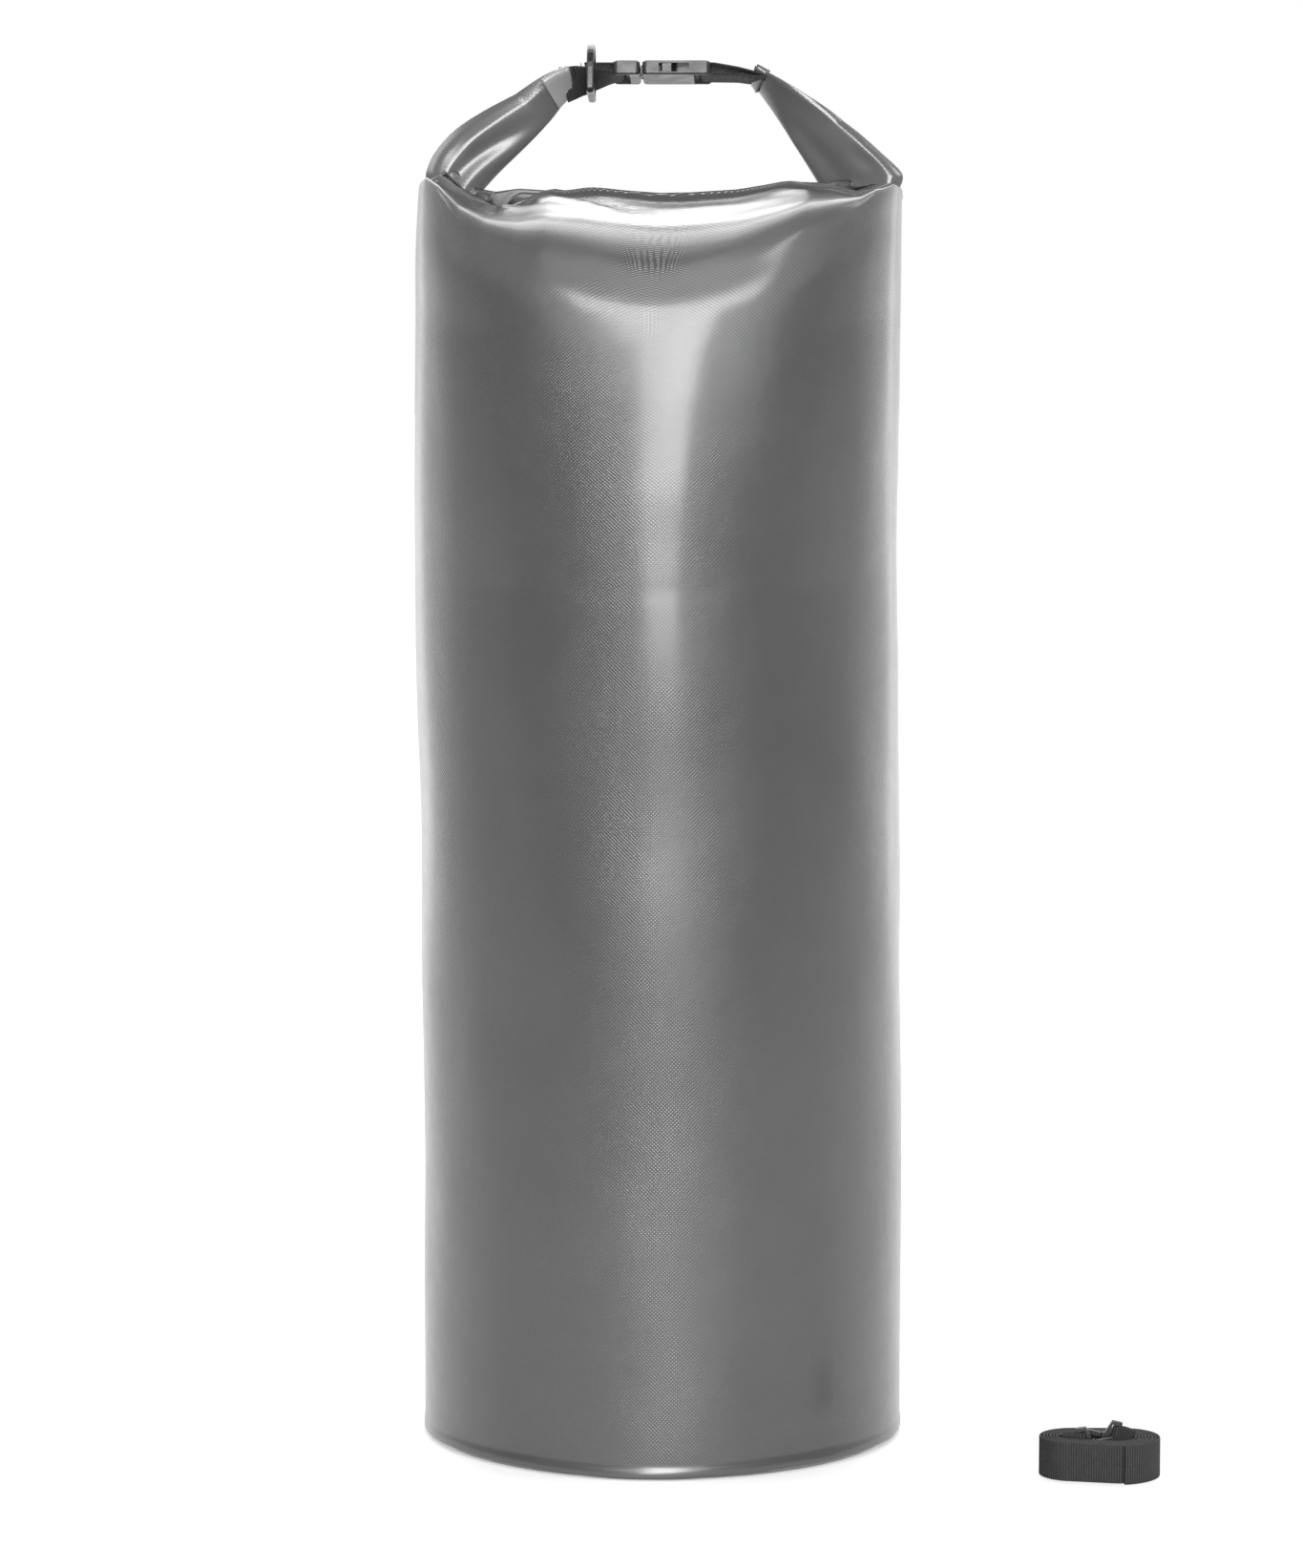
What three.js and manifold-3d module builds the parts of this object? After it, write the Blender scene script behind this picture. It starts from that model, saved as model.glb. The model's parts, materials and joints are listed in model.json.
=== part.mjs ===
// Roll-top dry bag used to store and carry rope: a welded tube of coated fabric on a round base,
// its mouth rolled down and closed, the two roll ends bent up and clipped into a carry loop,
// and a coiled shoulder strap with two snap hooks lying beside it.
// Millimetres, +Z up. The origin is the centre of the base on the floor; the bag's front faces -Y.
import * as THREE from "three";
import { mergeVertices } from "three/addons/utils/BufferGeometryUtils.js";
import Module from "manifold-3d";

const wasm = await Module();
wasm.setup();

// ---- Clearances ----
const SEAT_GAP = 0.4; // between pieces that are welded, sewn or seated together
const RUN_GAP = 0.6; // around pieces that move
const WEB_GAP = 0.4; // between neighbouring turns of webbing

// ---- Bag tube ----
const TUBE_R = 155;
const TUBE_WALL = 2;
const HEM_Z = 3.5; // lower edge of the tube above the floor
const CLOSING_H = 243; // height over which the round tube closes into the crest
const CREST_Z = 803; // top of the fin where front and back walls meet
const CREST_Y = -15; // the closed mouth lies a little in front of the axis
const FIN_H = 27; // height over which the back wall lies against the front wall
const ROOF_STEP = 3; // how far the inner roof lies below the outer one

// ---- Base disc ----
const BASE_PLATE = 2.4;
const BASE_FLANGE = 9; // height of the turned-up edge that is welded inside the tube
const BASE_CHAMFER = 4;

// ---- Rolled mouth ----
const ROLL_PLY = 2; // two plies of fabric
const ROLL_TURNS = 1.75;
const ROLL_PITCH = 2.5;
const STIFF_T = 1.6;
const STIFF_H = 17;
const STIFF_INSET = 4; // the stiffener ends this far inside the roll

// ---- Carry loop ----
const LEAN = THREE.MathUtils.degToRad(12.5); // the loop leans back
const HINGE_RISE = 4; // the tilt axis above the crest
const EAR_BASE_H = 3; // heights h are measured from the tilt axis
const EAR_BASE_W = 33;
const TIP_MORE = 2; // the ear's tip is wider than the webbing sewn to it
const EAR_BASE_T = 8;
const EAR_TIP_T = 5;
const EAR_TIP_X = 59;
const EAR_CORNER = 1.5; // from the tube's side to the ear's outer edge
const EAR_ROLL_GAP = 8; // from the ear's inner edge to the end of the roll
const LEFT_TIP_H = 64.5;
const RIGHT_TIP_H = 70;
const EAR_RISE = [[2, 7, 0], [15, 18, 0.25], [38, 34, 0.5]]; // inwards, up, share of the bow
const EAR_END_OUT = 21; // the last bend lies this far out from the tip
const EAR_END_DOWN = 13.5; // and this far below it
const LEFT_BOW = 5; // the left ear stands this much further out than the right one
const LEFT_TWIST = THREE.MathUtils.degToRad(50);
const RIGHT_TWIST = THREE.MathUtils.degToRad(75);
const TAB_T = 1.2;
const EAR_CHAMFER = 1.2;
const EAR_STEPS = 12; // straight stretches along an ear
const TAB_STEPS = 2; // how many of them its end tab covers

// ---- Webbing ----
const WEB_W = 25;
const WEB_T = 1.7;
const WEB_STEP = 0.8; // the left webbing starts this much further in than the seat gap
const PLY_ROOM = 0.1; // more than the gap between the right webbing's two plies
const PLY_SLOPE = 0.8; // the plies draw back from the leaning tip by this share of their depth
const PLY_BEND = 10; // from the right tip to where the plies bend

// ---- Side-release buckle, its length along x ----
const BUCKLE_H = 74.5;
const BUCKLE_MORE = 6; // the buckle is wider than the webbing it holds
const BUCKLE_T = 9;
const FEMALE_X0 = -13;
const FEMALE_X1 = 30.4;
const MALE_X0 = -31.6;
const MALE_X1 = -14.6;
const BUCKLE_WALL = 1.6;
const SIDE_WALL = 2.9;
const WINDOW_X0 = -2.5;
const CAVITY_X1 = 16.8;
const BAR_T = 4;
const BAR_LONG = 4.6;
const WEB_SLOT = 6;
const PRONG_X1 = 9;
const PRONG_W = 5.2;
const ARM_ROOT_Y = 7.75;
const ARM_T = 2.5;
const ARM_X1 = 8.5;
const CATCH_X0 = -1.2;
const CATCH_REACH = 15.2;

// ---- D-rings ----
const RING_ROOM = 0.9; // either side of the webbing it hangs from
const RING_SIDE = 13.7; // straight side, from the middle of the bar
const RING_CORNER = 3;
const RING_WIRE = 4.6;
const RING_BEVEL = 0.9;
const RING_X = -46;
const RING_BAR_H = 60.5;

// ---- Rear lower anchor ----
const ANCHOR_Z = 105; // height of the ring's bar
const PATCH_W = 74;
const PATCH_HEIGHT = 100;
const PATCH_T = 1.2;
const ANCHOR_HALF = 34; // the sewn webbing reaches this far above and below the bar

// ---- Shoulder strap, coiled on the floor ----
const COIL_AWAY = 84; // from the bag's side to the coil
const COIL_Y = -126;
const COIL_CORE = 7.7; // half width of the hollow in the middle
const COIL_LAYERS = 8; // layers of webbing on each side of it
const COIL_STRAIGHT = 15.5; // half length of the straight stretches
const COIL_TURNS_IN = 3.352; // turns of the inner strand
const COIL_TURNS_OUT = 3.852; // turns of the outer strand
const COIL_STEPS = 24; // steps in a turn
const END_RISE_A = 5;
const END_RISE_B = 3;

// ---- Snap hooks ----
const HOOK_T = 4.6;
const HOOK_BAR = 2.6;
const HOOK_SLOT_ROOM = 1.7; // beside the webbing in the slot
const HOOK_BASE_L = 8.4;
const HOOK_MORE = 5.4; // the hook's base is wider than its webbing
const HOOK_NECK_W = 13.2;
const HOOK_LEG = 3.4;
const HOOK_L = 26;
const GATE_T = 2.6;
const GATE_X0 = 10.6;
const GATE_X1 = 19.4;
const LOOP_BACK = 11; // length of webbing folded back round a hook's bar

// ---- Derived places ----
const ROUND_Z = CREST_Z - CLOSING_H; // up to here the tube is round
const FIN_Z = CREST_Z - FIN_H;
const EAR_BASE_X = TUBE_R - EAR_CORNER - EAR_BASE_W / 2;
const ROLL_HALF_LENGTH = EAR_BASE_X - EAR_BASE_W / 2 - EAR_ROLL_GAP;
const STIFF_HALF_LENGTH = ROLL_HALF_LENGTH - STIFF_INSET;
const EAR_TIP_W = WEB_W + TIP_MORE;
const BUCKLE_W = WEB_W + BUCKLE_MORE;
const RING_W = WEB_W + 2 * (RING_WIRE + RING_ROOM);
const WEB_PITCH = WEB_T + WEB_GAP;
const COIL_B = COIL_CORE + COIL_LAYERS * WEB_PITCH; // outer half width
const COIL_A = COIL_B + COIL_STRAIGHT; // outer half length
const COIL_X = TUBE_R + COIL_AWAY + COIL_A;
const HOOK_BASE_W = WEB_W + HOOK_MORE;
const HOOK_SLOT = WEB_T + HOOK_SLOT_ROOM;
const HINGE_Z = CREST_Z + HINGE_RISE;
const ROLL_R0 = STIFF_T / 2 + SEAT_GAP + ROLL_PLY / 2;
const ROLL_R1 = ROLL_R0 + ROLL_PITCH * ROLL_TURNS + ROLL_PLY / 2;
const ROLL_ARC_H = STIFF_H / 2 - 0.5;
const ROLL_Y = CREST_Y + 1 + 2 * SEAT_GAP + ROLL_R1;
const ROLL_Z = FIN_Z + 2 * SEAT_GAP + ROLL_ARC_H + ROLL_R1;
const HINGE_Y = ROLL_Y;
const HOOK_LOOP_R = HOOK_BAR / 2 + WEB_GAP + 0.3 + WEB_T / 2;
const BUCKLE_LOOP_R = BAR_T / 2 + WEB_GAP + WEB_T / 2;

// ---- Looks ----
const FABRIC = { color: 0x8a8c8e, roughness: 0.38, metalness: 0 };
const FABRIC_LIGHT = { color: 0xa8aaac, roughness: 0.42, metalness: 0 };
const WEBBING = { color: 0x1c1c1d, roughness: 0.85, metalness: 0 };
const PLASTIC = { color: 0x1a1a1b, roughness: 0.45, metalness: 0 };
const STRIP = { color: 0x3a3b3d, roughness: 0.6, metalness: 0 };

const v3 = (x, y, z) => new THREE.Vector3(x, y, z);
const v2 = (x, y) => new THREE.Vector2(x, y);

function piece(parent, name, geometry, look) {
  const mesh = new THREE.Mesh(geometry, new THREE.MeshStandardMaterial(look));
  mesh.name = name;
  parent.add(mesh);
  return mesh;
}

// ---- Solids ----

function solidOf(geometry) {
  const bare = geometry.index ? geometry.toNonIndexed() : geometry.clone();
  bare.deleteAttribute("normal");
  bare.deleteAttribute("uv");
  const merged = mergeVertices(bare, 1e-3);
  return new wasm.Manifold(
    new wasm.Mesh({
      numProp: 3,
      vertProperties: merged.attributes.position.array,
      triVerts: new Uint32Array(merged.index.array),
    }),
  );
}

function geometryOf(solid) {
  const mesh = solid.getMesh();
  const geometry = new THREE.BufferGeometry();
  geometry.setAttribute("position", new THREE.BufferAttribute(mesh.vertProperties, 3));
  geometry.setIndex(new THREE.BufferAttribute(mesh.triVerts, 1));
  geometry.computeVertexNormals();
  return geometry;
}

const cut = (whole, ...tools) =>
  geometryOf(tools.reduce((left, tool) => left.subtract(solidOf(tool)), solidOf(whole)));

const join = (...parts) =>
  geometryOf(parts.map(solidOf).reduce((sum, part) => sum.add(part)));

// A box between two corners.
function boxBetween(x0, x1, y0, y1, z0, z1) {
  const box = new THREE.BoxGeometry(x1 - x0, y1 - y0, z1 - z0);
  return box.translate((x0 + x1) / 2, (y0 + y1) / 2, (z0 + z1) / 2);
}

// A closed skin over rings of points, with flat ends. The rings run counter-clockwise
// seen against the way they follow each other.
function loft(rings) {
  const count = rings[0].length;
  const points = rings.flat();
  const index = [];
  for (let r = 0; r + 1 < rings.length; r++) {
    for (let i = 0; i < count; i++) {
      const a = r * count + i;
      const b = r * count + ((i + 1) % count);
      index.push(a, b, b + count, a, b + count, a + count);
    }
  }
  const middle = (ring) => ring.reduce((sum, p) => sum.add(p), v3(0, 0, 0)).divideScalar(count);
  const first = points.push(middle(rings[0])) - 1;
  const last = points.push(middle(rings.at(-1))) - 1;
  const top = (rings.length - 1) * count;
  for (let i = 0; i < count; i++) {
    const j = (i + 1) % count;
    index.push(first, j, i, last, top + i, top + j);
  }
  const geometry = new THREE.BufferGeometry().setFromPoints(points);
  geometry.setIndex(index);
  geometry.computeVertexNormals();
  return geometry;
}

// A flat band along a list of stations {at, wide, thick, width, thickness}: wide and thick are
// unit vectors across the band, and chamfer takes the sharp edges off.
function band(stations, chamfer = 0) {
  return loft(
    stations.map(({ at, wide, thick, width, thickness }) => {
      const w = width / 2;
      const t = thickness / 2;
      const corners = chamfer
        ? [
            [w, t - chamfer],
            [w - chamfer, t],
            [chamfer - w, t],
            [-w, t - chamfer],
            [-w, chamfer - t],
            [chamfer - w, -t],
            [w - chamfer, -t],
            [w, chamfer - t],
          ]
        : [
            [w, t],
            [-w, t],
            [-w, -t],
            [w, -t],
          ];
      return corners.map(([a, b]) => at.clone().addScaledVector(wide, a).addScaledVector(thick, b));
    }),
  );
}

// Webbing that follows points; wideAt gives the direction of its width at a share of the way
// along and at a point's number, which is then squared to the path.
function webbing(points, wideAt) {
  const end = points.length - 1;
  const stations = points.map((at, i) => {
    const ahead = points[Math.min(i + 1, end)].clone().sub(points[Math.max(i - 1, 0)]).normalize();
    const wide = wideAt(i / end, i).clone();
    wide.addScaledVector(ahead, -wide.dot(ahead)).normalize();
    return { at, wide, thick: ahead.cross(wide), width: WEB_W, thickness: WEB_T };
  });
  return band(stations);
}

// An arc of points in a plane through centre, spanned by along and across.
function arc(centre, along, across, radius, from, to, steps) {
  return Array.from({ length: steps + 1 }, (_, i) => {
    const a = from + ((to - from) * i) / steps;
    return centre
      .clone()
      .addScaledVector(along, radius * Math.cos(a))
      .addScaledVector(across, radius * Math.sin(a));
  });
}

// ---- Bag tube: round below, closing to a straight fin above ----

// Straight interpolation in a list of [z, value], level beyond both ends.
function valueAt(list, z) {
  const above = list.findIndex((p) => p[0] >= z);
  if (above <= 0) return list.at(above)[1];
  const [z0, a] = list[above - 1];
  const [z1, b] = list[above];
  return a + ((b - a) * (z - z0)) / (z1 - z0);
}

const closing = (share) => ROUND_Z + share * (CREST_Z - ROUND_Z);
const FRONT_REACH = [
  [ROUND_Z, 1],
  [closing(0.5), 0.985],
  [closing(0.72), 0.94],
  [closing(0.84), 0.83],
  [closing(0.92), 0.55],
  [CREST_Z, 0.06],
];
const BACK_REACH = [
  [ROUND_Z, 1],
  [closing(0.42), 0.98],
  [closing(0.64), 0.9],
  [closing(0.76), 0.72],
  [closing(0.83), 0.42],
  [FIN_Z - 1.5, 0.12],
  [FIN_Z, 1 / TUBE_R],
];
const SQUARENESS = [
  [ROUND_Z, 2],
  [closing(0.6), 2.25],
  [closing(0.8), 2.7],
  [CREST_Z, 4],
];
const TUBE_SIDES = 48;

function tubeRing(z, shapeZ, inset) {
  const middle = CREST_Y * Math.min(Math.max((shapeZ - ROUND_Z) / (CREST_Z - ROUND_Z), 0), 1);
  const front = valueAt(FRONT_REACH, shapeZ) * TUBE_R - inset;
  const back = valueAt(BACK_REACH, shapeZ) * TUBE_R - inset;
  const power = 2 / valueAt(SQUARENESS, shapeZ);
  return Array.from({ length: TUBE_SIDES }, (_, i) => {
    const a = (2 * Math.PI * i) / TUBE_SIDES;
    const c = Math.cos(a);
    const s = Math.sin(a);
    const x = Math.sign(c) * Math.abs(c) ** power * (TUBE_R - inset);
    const y = Math.sign(s) * Math.abs(s) ** power * (s < 0 ? front : back);
    return v3(x, middle + y, z);
  });
}

function bagTube() {
  const shape = [ROUND_Z, ...[0.5, 0.64, 0.75].map(closing), FIN_Z - 12, FIN_Z - 1.5];
  const levels = [ROUND_Z / 2, ...shape];
  const inner = levels.map((z) => tubeRing(z - ROOF_STEP, z, TUBE_WALL)).reverse();
  const outer = [...levels, FIN_Z, (FIN_Z + CREST_Z) / 2, CREST_Z].map((z) => tubeRing(z, z, 0));
  return loft([
    ...inner,
    tubeRing(HEM_Z, 0, TUBE_WALL),
    tubeRing(HEM_Z, 0, 0),
    ...outer,
  ]);
}

// ---- Base disc: a plate with a turned-up edge inside the tube ----

function baseDisc() {
  const edge = TUBE_R - TUBE_WALL - SEAT_GAP;
  const inside = edge - BASE_PLATE;
  const outline = [
    v2(0, 0),
    v2(edge - BASE_CHAMFER, 0),
    v2(edge, BASE_CHAMFER),
    v2(edge, BASE_FLANGE),
    v2(inside, BASE_FLANGE),
    v2(inside, BASE_CHAMFER + 1),
    v2(edge - BASE_CHAMFER - 1, BASE_PLATE),
    v2(0, BASE_PLATE),
  ];
  return new THREE.LatheGeometry(outline, TUBE_SIDES).rotateX(Math.PI / 2);
}

// ---- Rolled mouth: two plies of fabric rolled round a flat stiffener ----

const ALONG_X = new THREE.Matrix4().makeBasis(v3(0, 1, 0), v3(0, 0, 1), v3(1, 0, 0));

function rolledMouth() {
  const steps = 7;
  const halfTurns = Math.round(ROLL_TURNS * 2);
  const side = (grow) => {
    const points = [];
    for (let k = 0; k < halfTurns; k++) {
      for (let i = 0; i <= steps; i++) {
        const a = Math.PI * (k + i / steps);
        const r = ROLL_R0 + (ROLL_PITCH * a) / (2 * Math.PI) + grow;
        points.push(v2(r * Math.cos(a), r * Math.sin(a) + (k % 2 ? -1 : 1) * ROLL_ARC_H));
      }
    }
    return points;
  };
  const outline = new THREE.Shape([...side(ROLL_PLY / 2), ...side(-ROLL_PLY / 2).reverse()]);
  const roll = new THREE.ExtrudeGeometry(outline, {
    depth: 2 * ROLL_HALF_LENGTH,
    bevelEnabled: false,
  });
  return roll.applyMatrix4(ALONG_X).translate(-ROLL_HALF_LENGTH, ROLL_Y, ROLL_Z);
}

function rollStiffener() {
  return boxBetween(
    -STIFF_HALF_LENGTH,
    STIFF_HALF_LENGTH,
    ROLL_Y - STIFF_T / 2,
    ROLL_Y + STIFF_T / 2,
    ROLL_Z - STIFF_H / 2,
    ROLL_Z + STIFF_H / 2,
  );
}

// ---- Ears: the flattened roll ends, twisting as they rise to the buckle ----

// side is -1 for the left ear and 1 for the right one; from and to count stretches.
function earStations(side, tipH, twist, from, to, grow) {
  const bow = side < 0 ? LEFT_BOW : 0;
  const path = new THREE.CatmullRomCurve3([
    v3(side * EAR_BASE_X, 0, EAR_BASE_H),
    ...EAR_RISE.map(([inwards, up, share]) =>
      v3(side * (EAR_BASE_X - inwards + Math.sign(share) * bow), 0, EAR_BASE_H + up + bow * share),
    ),
    v3(side * (EAR_TIP_X + EAR_END_OUT + bow / 2), 0, tipH - EAR_END_DOWN + bow / 2),
    v3(side * EAR_TIP_X, 0, tipH),
  ]);
  return Array.from({ length: to - from + 1 }, (_, i) => {
    const share = (from + i) / EAR_STEPS;
    const along = path.getTangentAt(Math.min(share, 1));
    const at = path.getPointAt(Math.min(share, 1));
    at.addScaledVector(along, Math.max(share - 1, 0) * path.getLength());
    const turn = twist * share;
    const outward = v3(side * along.z, 0, -side * along.x);
    const wide = outward.multiplyScalar(Math.cos(turn)).add(v3(0, -Math.sin(turn), 0));
    return {
      at,
      wide,
      thick: along.clone().cross(wide),
      width: THREE.MathUtils.lerp(EAR_BASE_W, EAR_TIP_W, share) + 2 * grow,
      thickness: THREE.MathUtils.lerp(EAR_BASE_T, EAR_TIP_T, share) + 2 * grow,
    };
  });
}

const ear = (side, tipH, twist) => band(earStations(side, tipH, twist, 0, EAR_STEPS, 0), EAR_CHAMFER);

// A fabric sleeve welded round the ear's tip.
function endTab(side, tipH, twist) {
  const from = EAR_STEPS - TAB_STEPS;
  const outside = earStations(side, tipH, twist, from, EAR_STEPS, SEAT_GAP + TAB_T);
  const inside = earStations(side, tipH, twist, from - 1, EAR_STEPS + 1, SEAT_GAP);
  return cut(band(outside, EAR_CHAMFER), band(inside, EAR_CHAMFER));
}

// ---- Closure webbing: folded round the buckle's bars ----

function leftWebbing() {
  const barX = MALE_X0 + BAR_LONG - BAR_T / 4;
  const low = BUCKLE_H - BUCKLE_LOOP_R;
  const high = BUCKLE_H + BUCKLE_LOOP_R;
  const turn = arc(v3(barX, 0, BUCKLE_H), v3(0, 0, -1), v3(1, 0, 0), BUCKLE_LOOP_R, 0, Math.PI, 8);
  const points = [
    v3(-EAR_TIP_X + SEAT_GAP + WEB_STEP, 0, LEFT_TIP_H + 0.9),
    v3(-EAR_TIP_X + 8, 0, LEFT_TIP_H + 3.8),
    v3(RING_X, 0, low - 1.2),
    v3(barX - 8, 0, low),
    ...turn,
    v3(barX - 8, 0, high),
    v3(RING_X - 4, 0, high),
  ];
  const start = LEFT_TWIST;
  return webbing(points, (share) => {
    const a = THREE.MathUtils.lerp(start, Math.PI / 2, Math.min(share * 7, 1));
    return v3(0, -Math.sin(a), share < 0.5 ? Math.cos(a) : 0);
  });
}

function rightWebbing() {
  const barX = FEMALE_X1 - BAR_LONG + BAR_T / 4;
  const low = BUCKLE_H - BUCKLE_LOOP_R;
  const high = BUCKLE_H + BUCKLE_LOOP_R;
  const turn = arc(v3(barX, 0, BUCKLE_H), v3(0, 0, 1), v3(-1, 0, 0), BUCKLE_LOOP_R, 0, Math.PI, 8);
  const apart = WEB_PITCH / 2 + PLY_ROOM;
  const tip = EAR_TIP_X + SEAT_GAP - PLY_SLOPE * (apart + WEB_T / 2);
  return webbing(
    [
      v3(tip, 0, RIGHT_TIP_H + apart),
      v3(tip - PLY_BEND, 0, RIGHT_TIP_H + apart + 4),
      v3(barX + 6, 0, high),
      ...turn,
      v3(barX + 6, 0, low),
      v3(tip - PLY_BEND, 0, RIGHT_TIP_H - apart + 0.8),
      v3(tip, 0, RIGHT_TIP_H - apart),
    ],
    () => v3(0, -1, 0),
  );
}

// ---- Buckle ----

// A plate of the buckle's plan, rounded at its corners, centred on BUCKLE_H.
function buckleBlock(x0, x1, width, thickness, radius) {
  const w = width / 2;
  const plan = new THREE.Shape();
  plan.moveTo(x0 + radius, -w);
  plan.lineTo(x1 - radius, -w);
  plan.absarc(x1 - radius, radius - w, radius, -Math.PI / 2, 0);
  plan.lineTo(x1, w - radius);
  plan.absarc(x1 - radius, w - radius, radius, 0, Math.PI / 2);
  plan.lineTo(x0 + radius, w);
  plan.absarc(x0 + radius, w - radius, radius, Math.PI / 2, Math.PI);
  plan.lineTo(x0, radius - w);
  plan.absarc(x0 + radius, radius - w, radius, Math.PI, 1.5 * Math.PI);
  const bevel = 0.8;
  const block = new THREE.ExtrudeGeometry(plan, {
    depth: thickness - 2 * bevel,
    bevelThickness: bevel,
    bevelSize: bevel,
    bevelOffset: -bevel,
    bevelSegments: 1,
    curveSegments: 3,
  });
  return block.translate(0, 0, BUCKLE_H - thickness / 2 + bevel);
}

// A box across the buckle between two x, half a width either side and half a height up and down.
const acrossBuckle = (x0, x1, halfWidth, halfHeight) =>
  boxBetween(x0, x1, -halfWidth, halfWidth, BUCKLE_H - halfHeight, BUCKLE_H + halfHeight);

const CAVITY_W = BUCKLE_W / 2 - SIDE_WALL;
const CAVITY_T = BUCKLE_T / 2 - BUCKLE_WALL;
const SLOT_W = WEB_W / 2 + WEB_GAP + 0.3;

function buckleFemale() {
  const barFace = FEMALE_X1 - BAR_LONG;
  const body = cut(
    buckleBlock(FEMALE_X0, FEMALE_X1, BUCKLE_W, BUCKLE_T, 3),
    acrossBuckle(FEMALE_X0 - 1, CAVITY_X1, CAVITY_W, CAVITY_T),
    acrossBuckle(WINDOW_X0, CAVITY_X1, BUCKLE_W, CAVITY_T),
    acrossBuckle(barFace - WEB_SLOT, FEMALE_X1 + 1, SLOT_W, BUCKLE_T),
  );
  const bar = acrossBuckle(barFace, FEMALE_X1 - 0.4, SLOT_W + 0.5, BAR_T / 2);
  return join(body, bar);
}

function buckleMale() {
  const barFace = MALE_X0 + BAR_LONG;
  const body = cut(
    buckleBlock(MALE_X0, MALE_X1, BUCKLE_W, BUCKLE_T, 3),
    acrossBuckle(MALE_X0 - 1, barFace + WEB_SLOT, SLOT_W, BUCKLE_T),
  );
  const bar = acrossBuckle(MALE_X0 + 0.4, barFace, SLOT_W + 0.5, BAR_T / 2);
  const prong = acrossBuckle(MALE_X1 - 1, PRONG_X1, PRONG_W / 2, CAVITY_T - RUN_GAP / 2);
  return join(body, bar, prong);
}

// side is -1 for the arm at the front edge and 1 for the one at the rear edge.
function latchArm(side) {
  const root = MALE_X1 + SEAT_GAP;
  const inner = ARM_ROOT_Y - ARM_T / 2;
  const outer = ARM_ROOT_Y + ARM_T / 2;
  const plan = new THREE.Shape([
    v2(root, inner),
    v2(ARM_X1 - 1, inner),
    v2(ARM_X1, inner + 1.5),
    v2(ARM_X1, outer + 2),
    v2(ARM_X1 - 3, CATCH_REACH),
    v2(CATCH_X0 + 1, CATCH_REACH),
    v2(CATCH_X0, CATCH_REACH - 1),
    v2(CATCH_X0, outer),
    v2(root, outer),
  ]);
  const half = CAVITY_T - RUN_GAP / 2;
  const arm = new THREE.ExtrudeGeometry(plan, { depth: 2 * half, bevelEnabled: false });
  if (side < 0) arm.rotateX(Math.PI);
  return arm.translate(0, 0, BUCKLE_H - side * half);
}

// ---- D-ring: a straight bar with a round bow, flat on both faces ----

function dRing() {
  const outline = (inset, Kind) => {
    const w = RING_W / 2 - inset;
    const spring = RING_SIDE + RING_WIRE / 2;
    const r = RING_CORNER;
    const path = new Kind();
    path.moveTo(r - w, inset);
    path.lineTo(w - r, inset);
    path.absarc(w - r, inset + r, r, -Math.PI / 2, 0);
    path.lineTo(w, spring);
    path.absarc(0, spring, w, 0, Math.PI);
    path.lineTo(-w, inset + r);
    path.absarc(r - w, inset + r, r, Math.PI, 1.5 * Math.PI);
    return path;
  };
  const shape = outline(RING_BEVEL, THREE.Shape);
  shape.holes.push(outline(RING_WIRE - RING_BEVEL, THREE.Path));
  const ring = new THREE.ExtrudeGeometry(shape, {
    depth: RING_WIRE - 2 * RING_BEVEL,
    bevelThickness: RING_BEVEL,
    bevelSize: RING_BEVEL,
    bevelSegments: 1,
    curveSegments: 8,
  });
  // The ring's plane is XZ here, with the middle of its bar at the origin.
  return ring
    .rotateX(Math.PI / 2)
    .translate(0, RING_WIRE / 2 - RING_BEVEL, -RING_WIRE / 2);
}

// ---- Rear lower anchor: a welded patch, sewn webbing and a hanging D-ring ----

function rearPatch() {
  const inner = TUBE_R + SEAT_GAP;
  const outer = inner + PATCH_T;
  const half = PATCH_W / 2 / inner;
  const shape = new THREE.Shape();
  shape.absarc(0, 0, outer, Math.PI / 2 - half, Math.PI / 2 + half);
  shape.absarc(0, 0, inner, Math.PI / 2 + half, Math.PI / 2 - half, true);
  const patch = new THREE.ExtrudeGeometry(shape, {
    depth: PATCH_HEIGHT,
    bevelEnabled: false,
    curveSegments: 8,
  });
  return patch.translate(0, 0, ANCHOR_Z - PATCH_HEIGHT / 2);
}

const ANCHOR_FACE = TUBE_R + 2 * SEAT_GAP + PATCH_T;
const ANCHOR_HOLE = RING_WIRE / 2 + 2 * RUN_GAP;
const ANCHOR_BAR_Y = ANCHOR_FACE + WEB_T + ANCHOR_HOLE;

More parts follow.
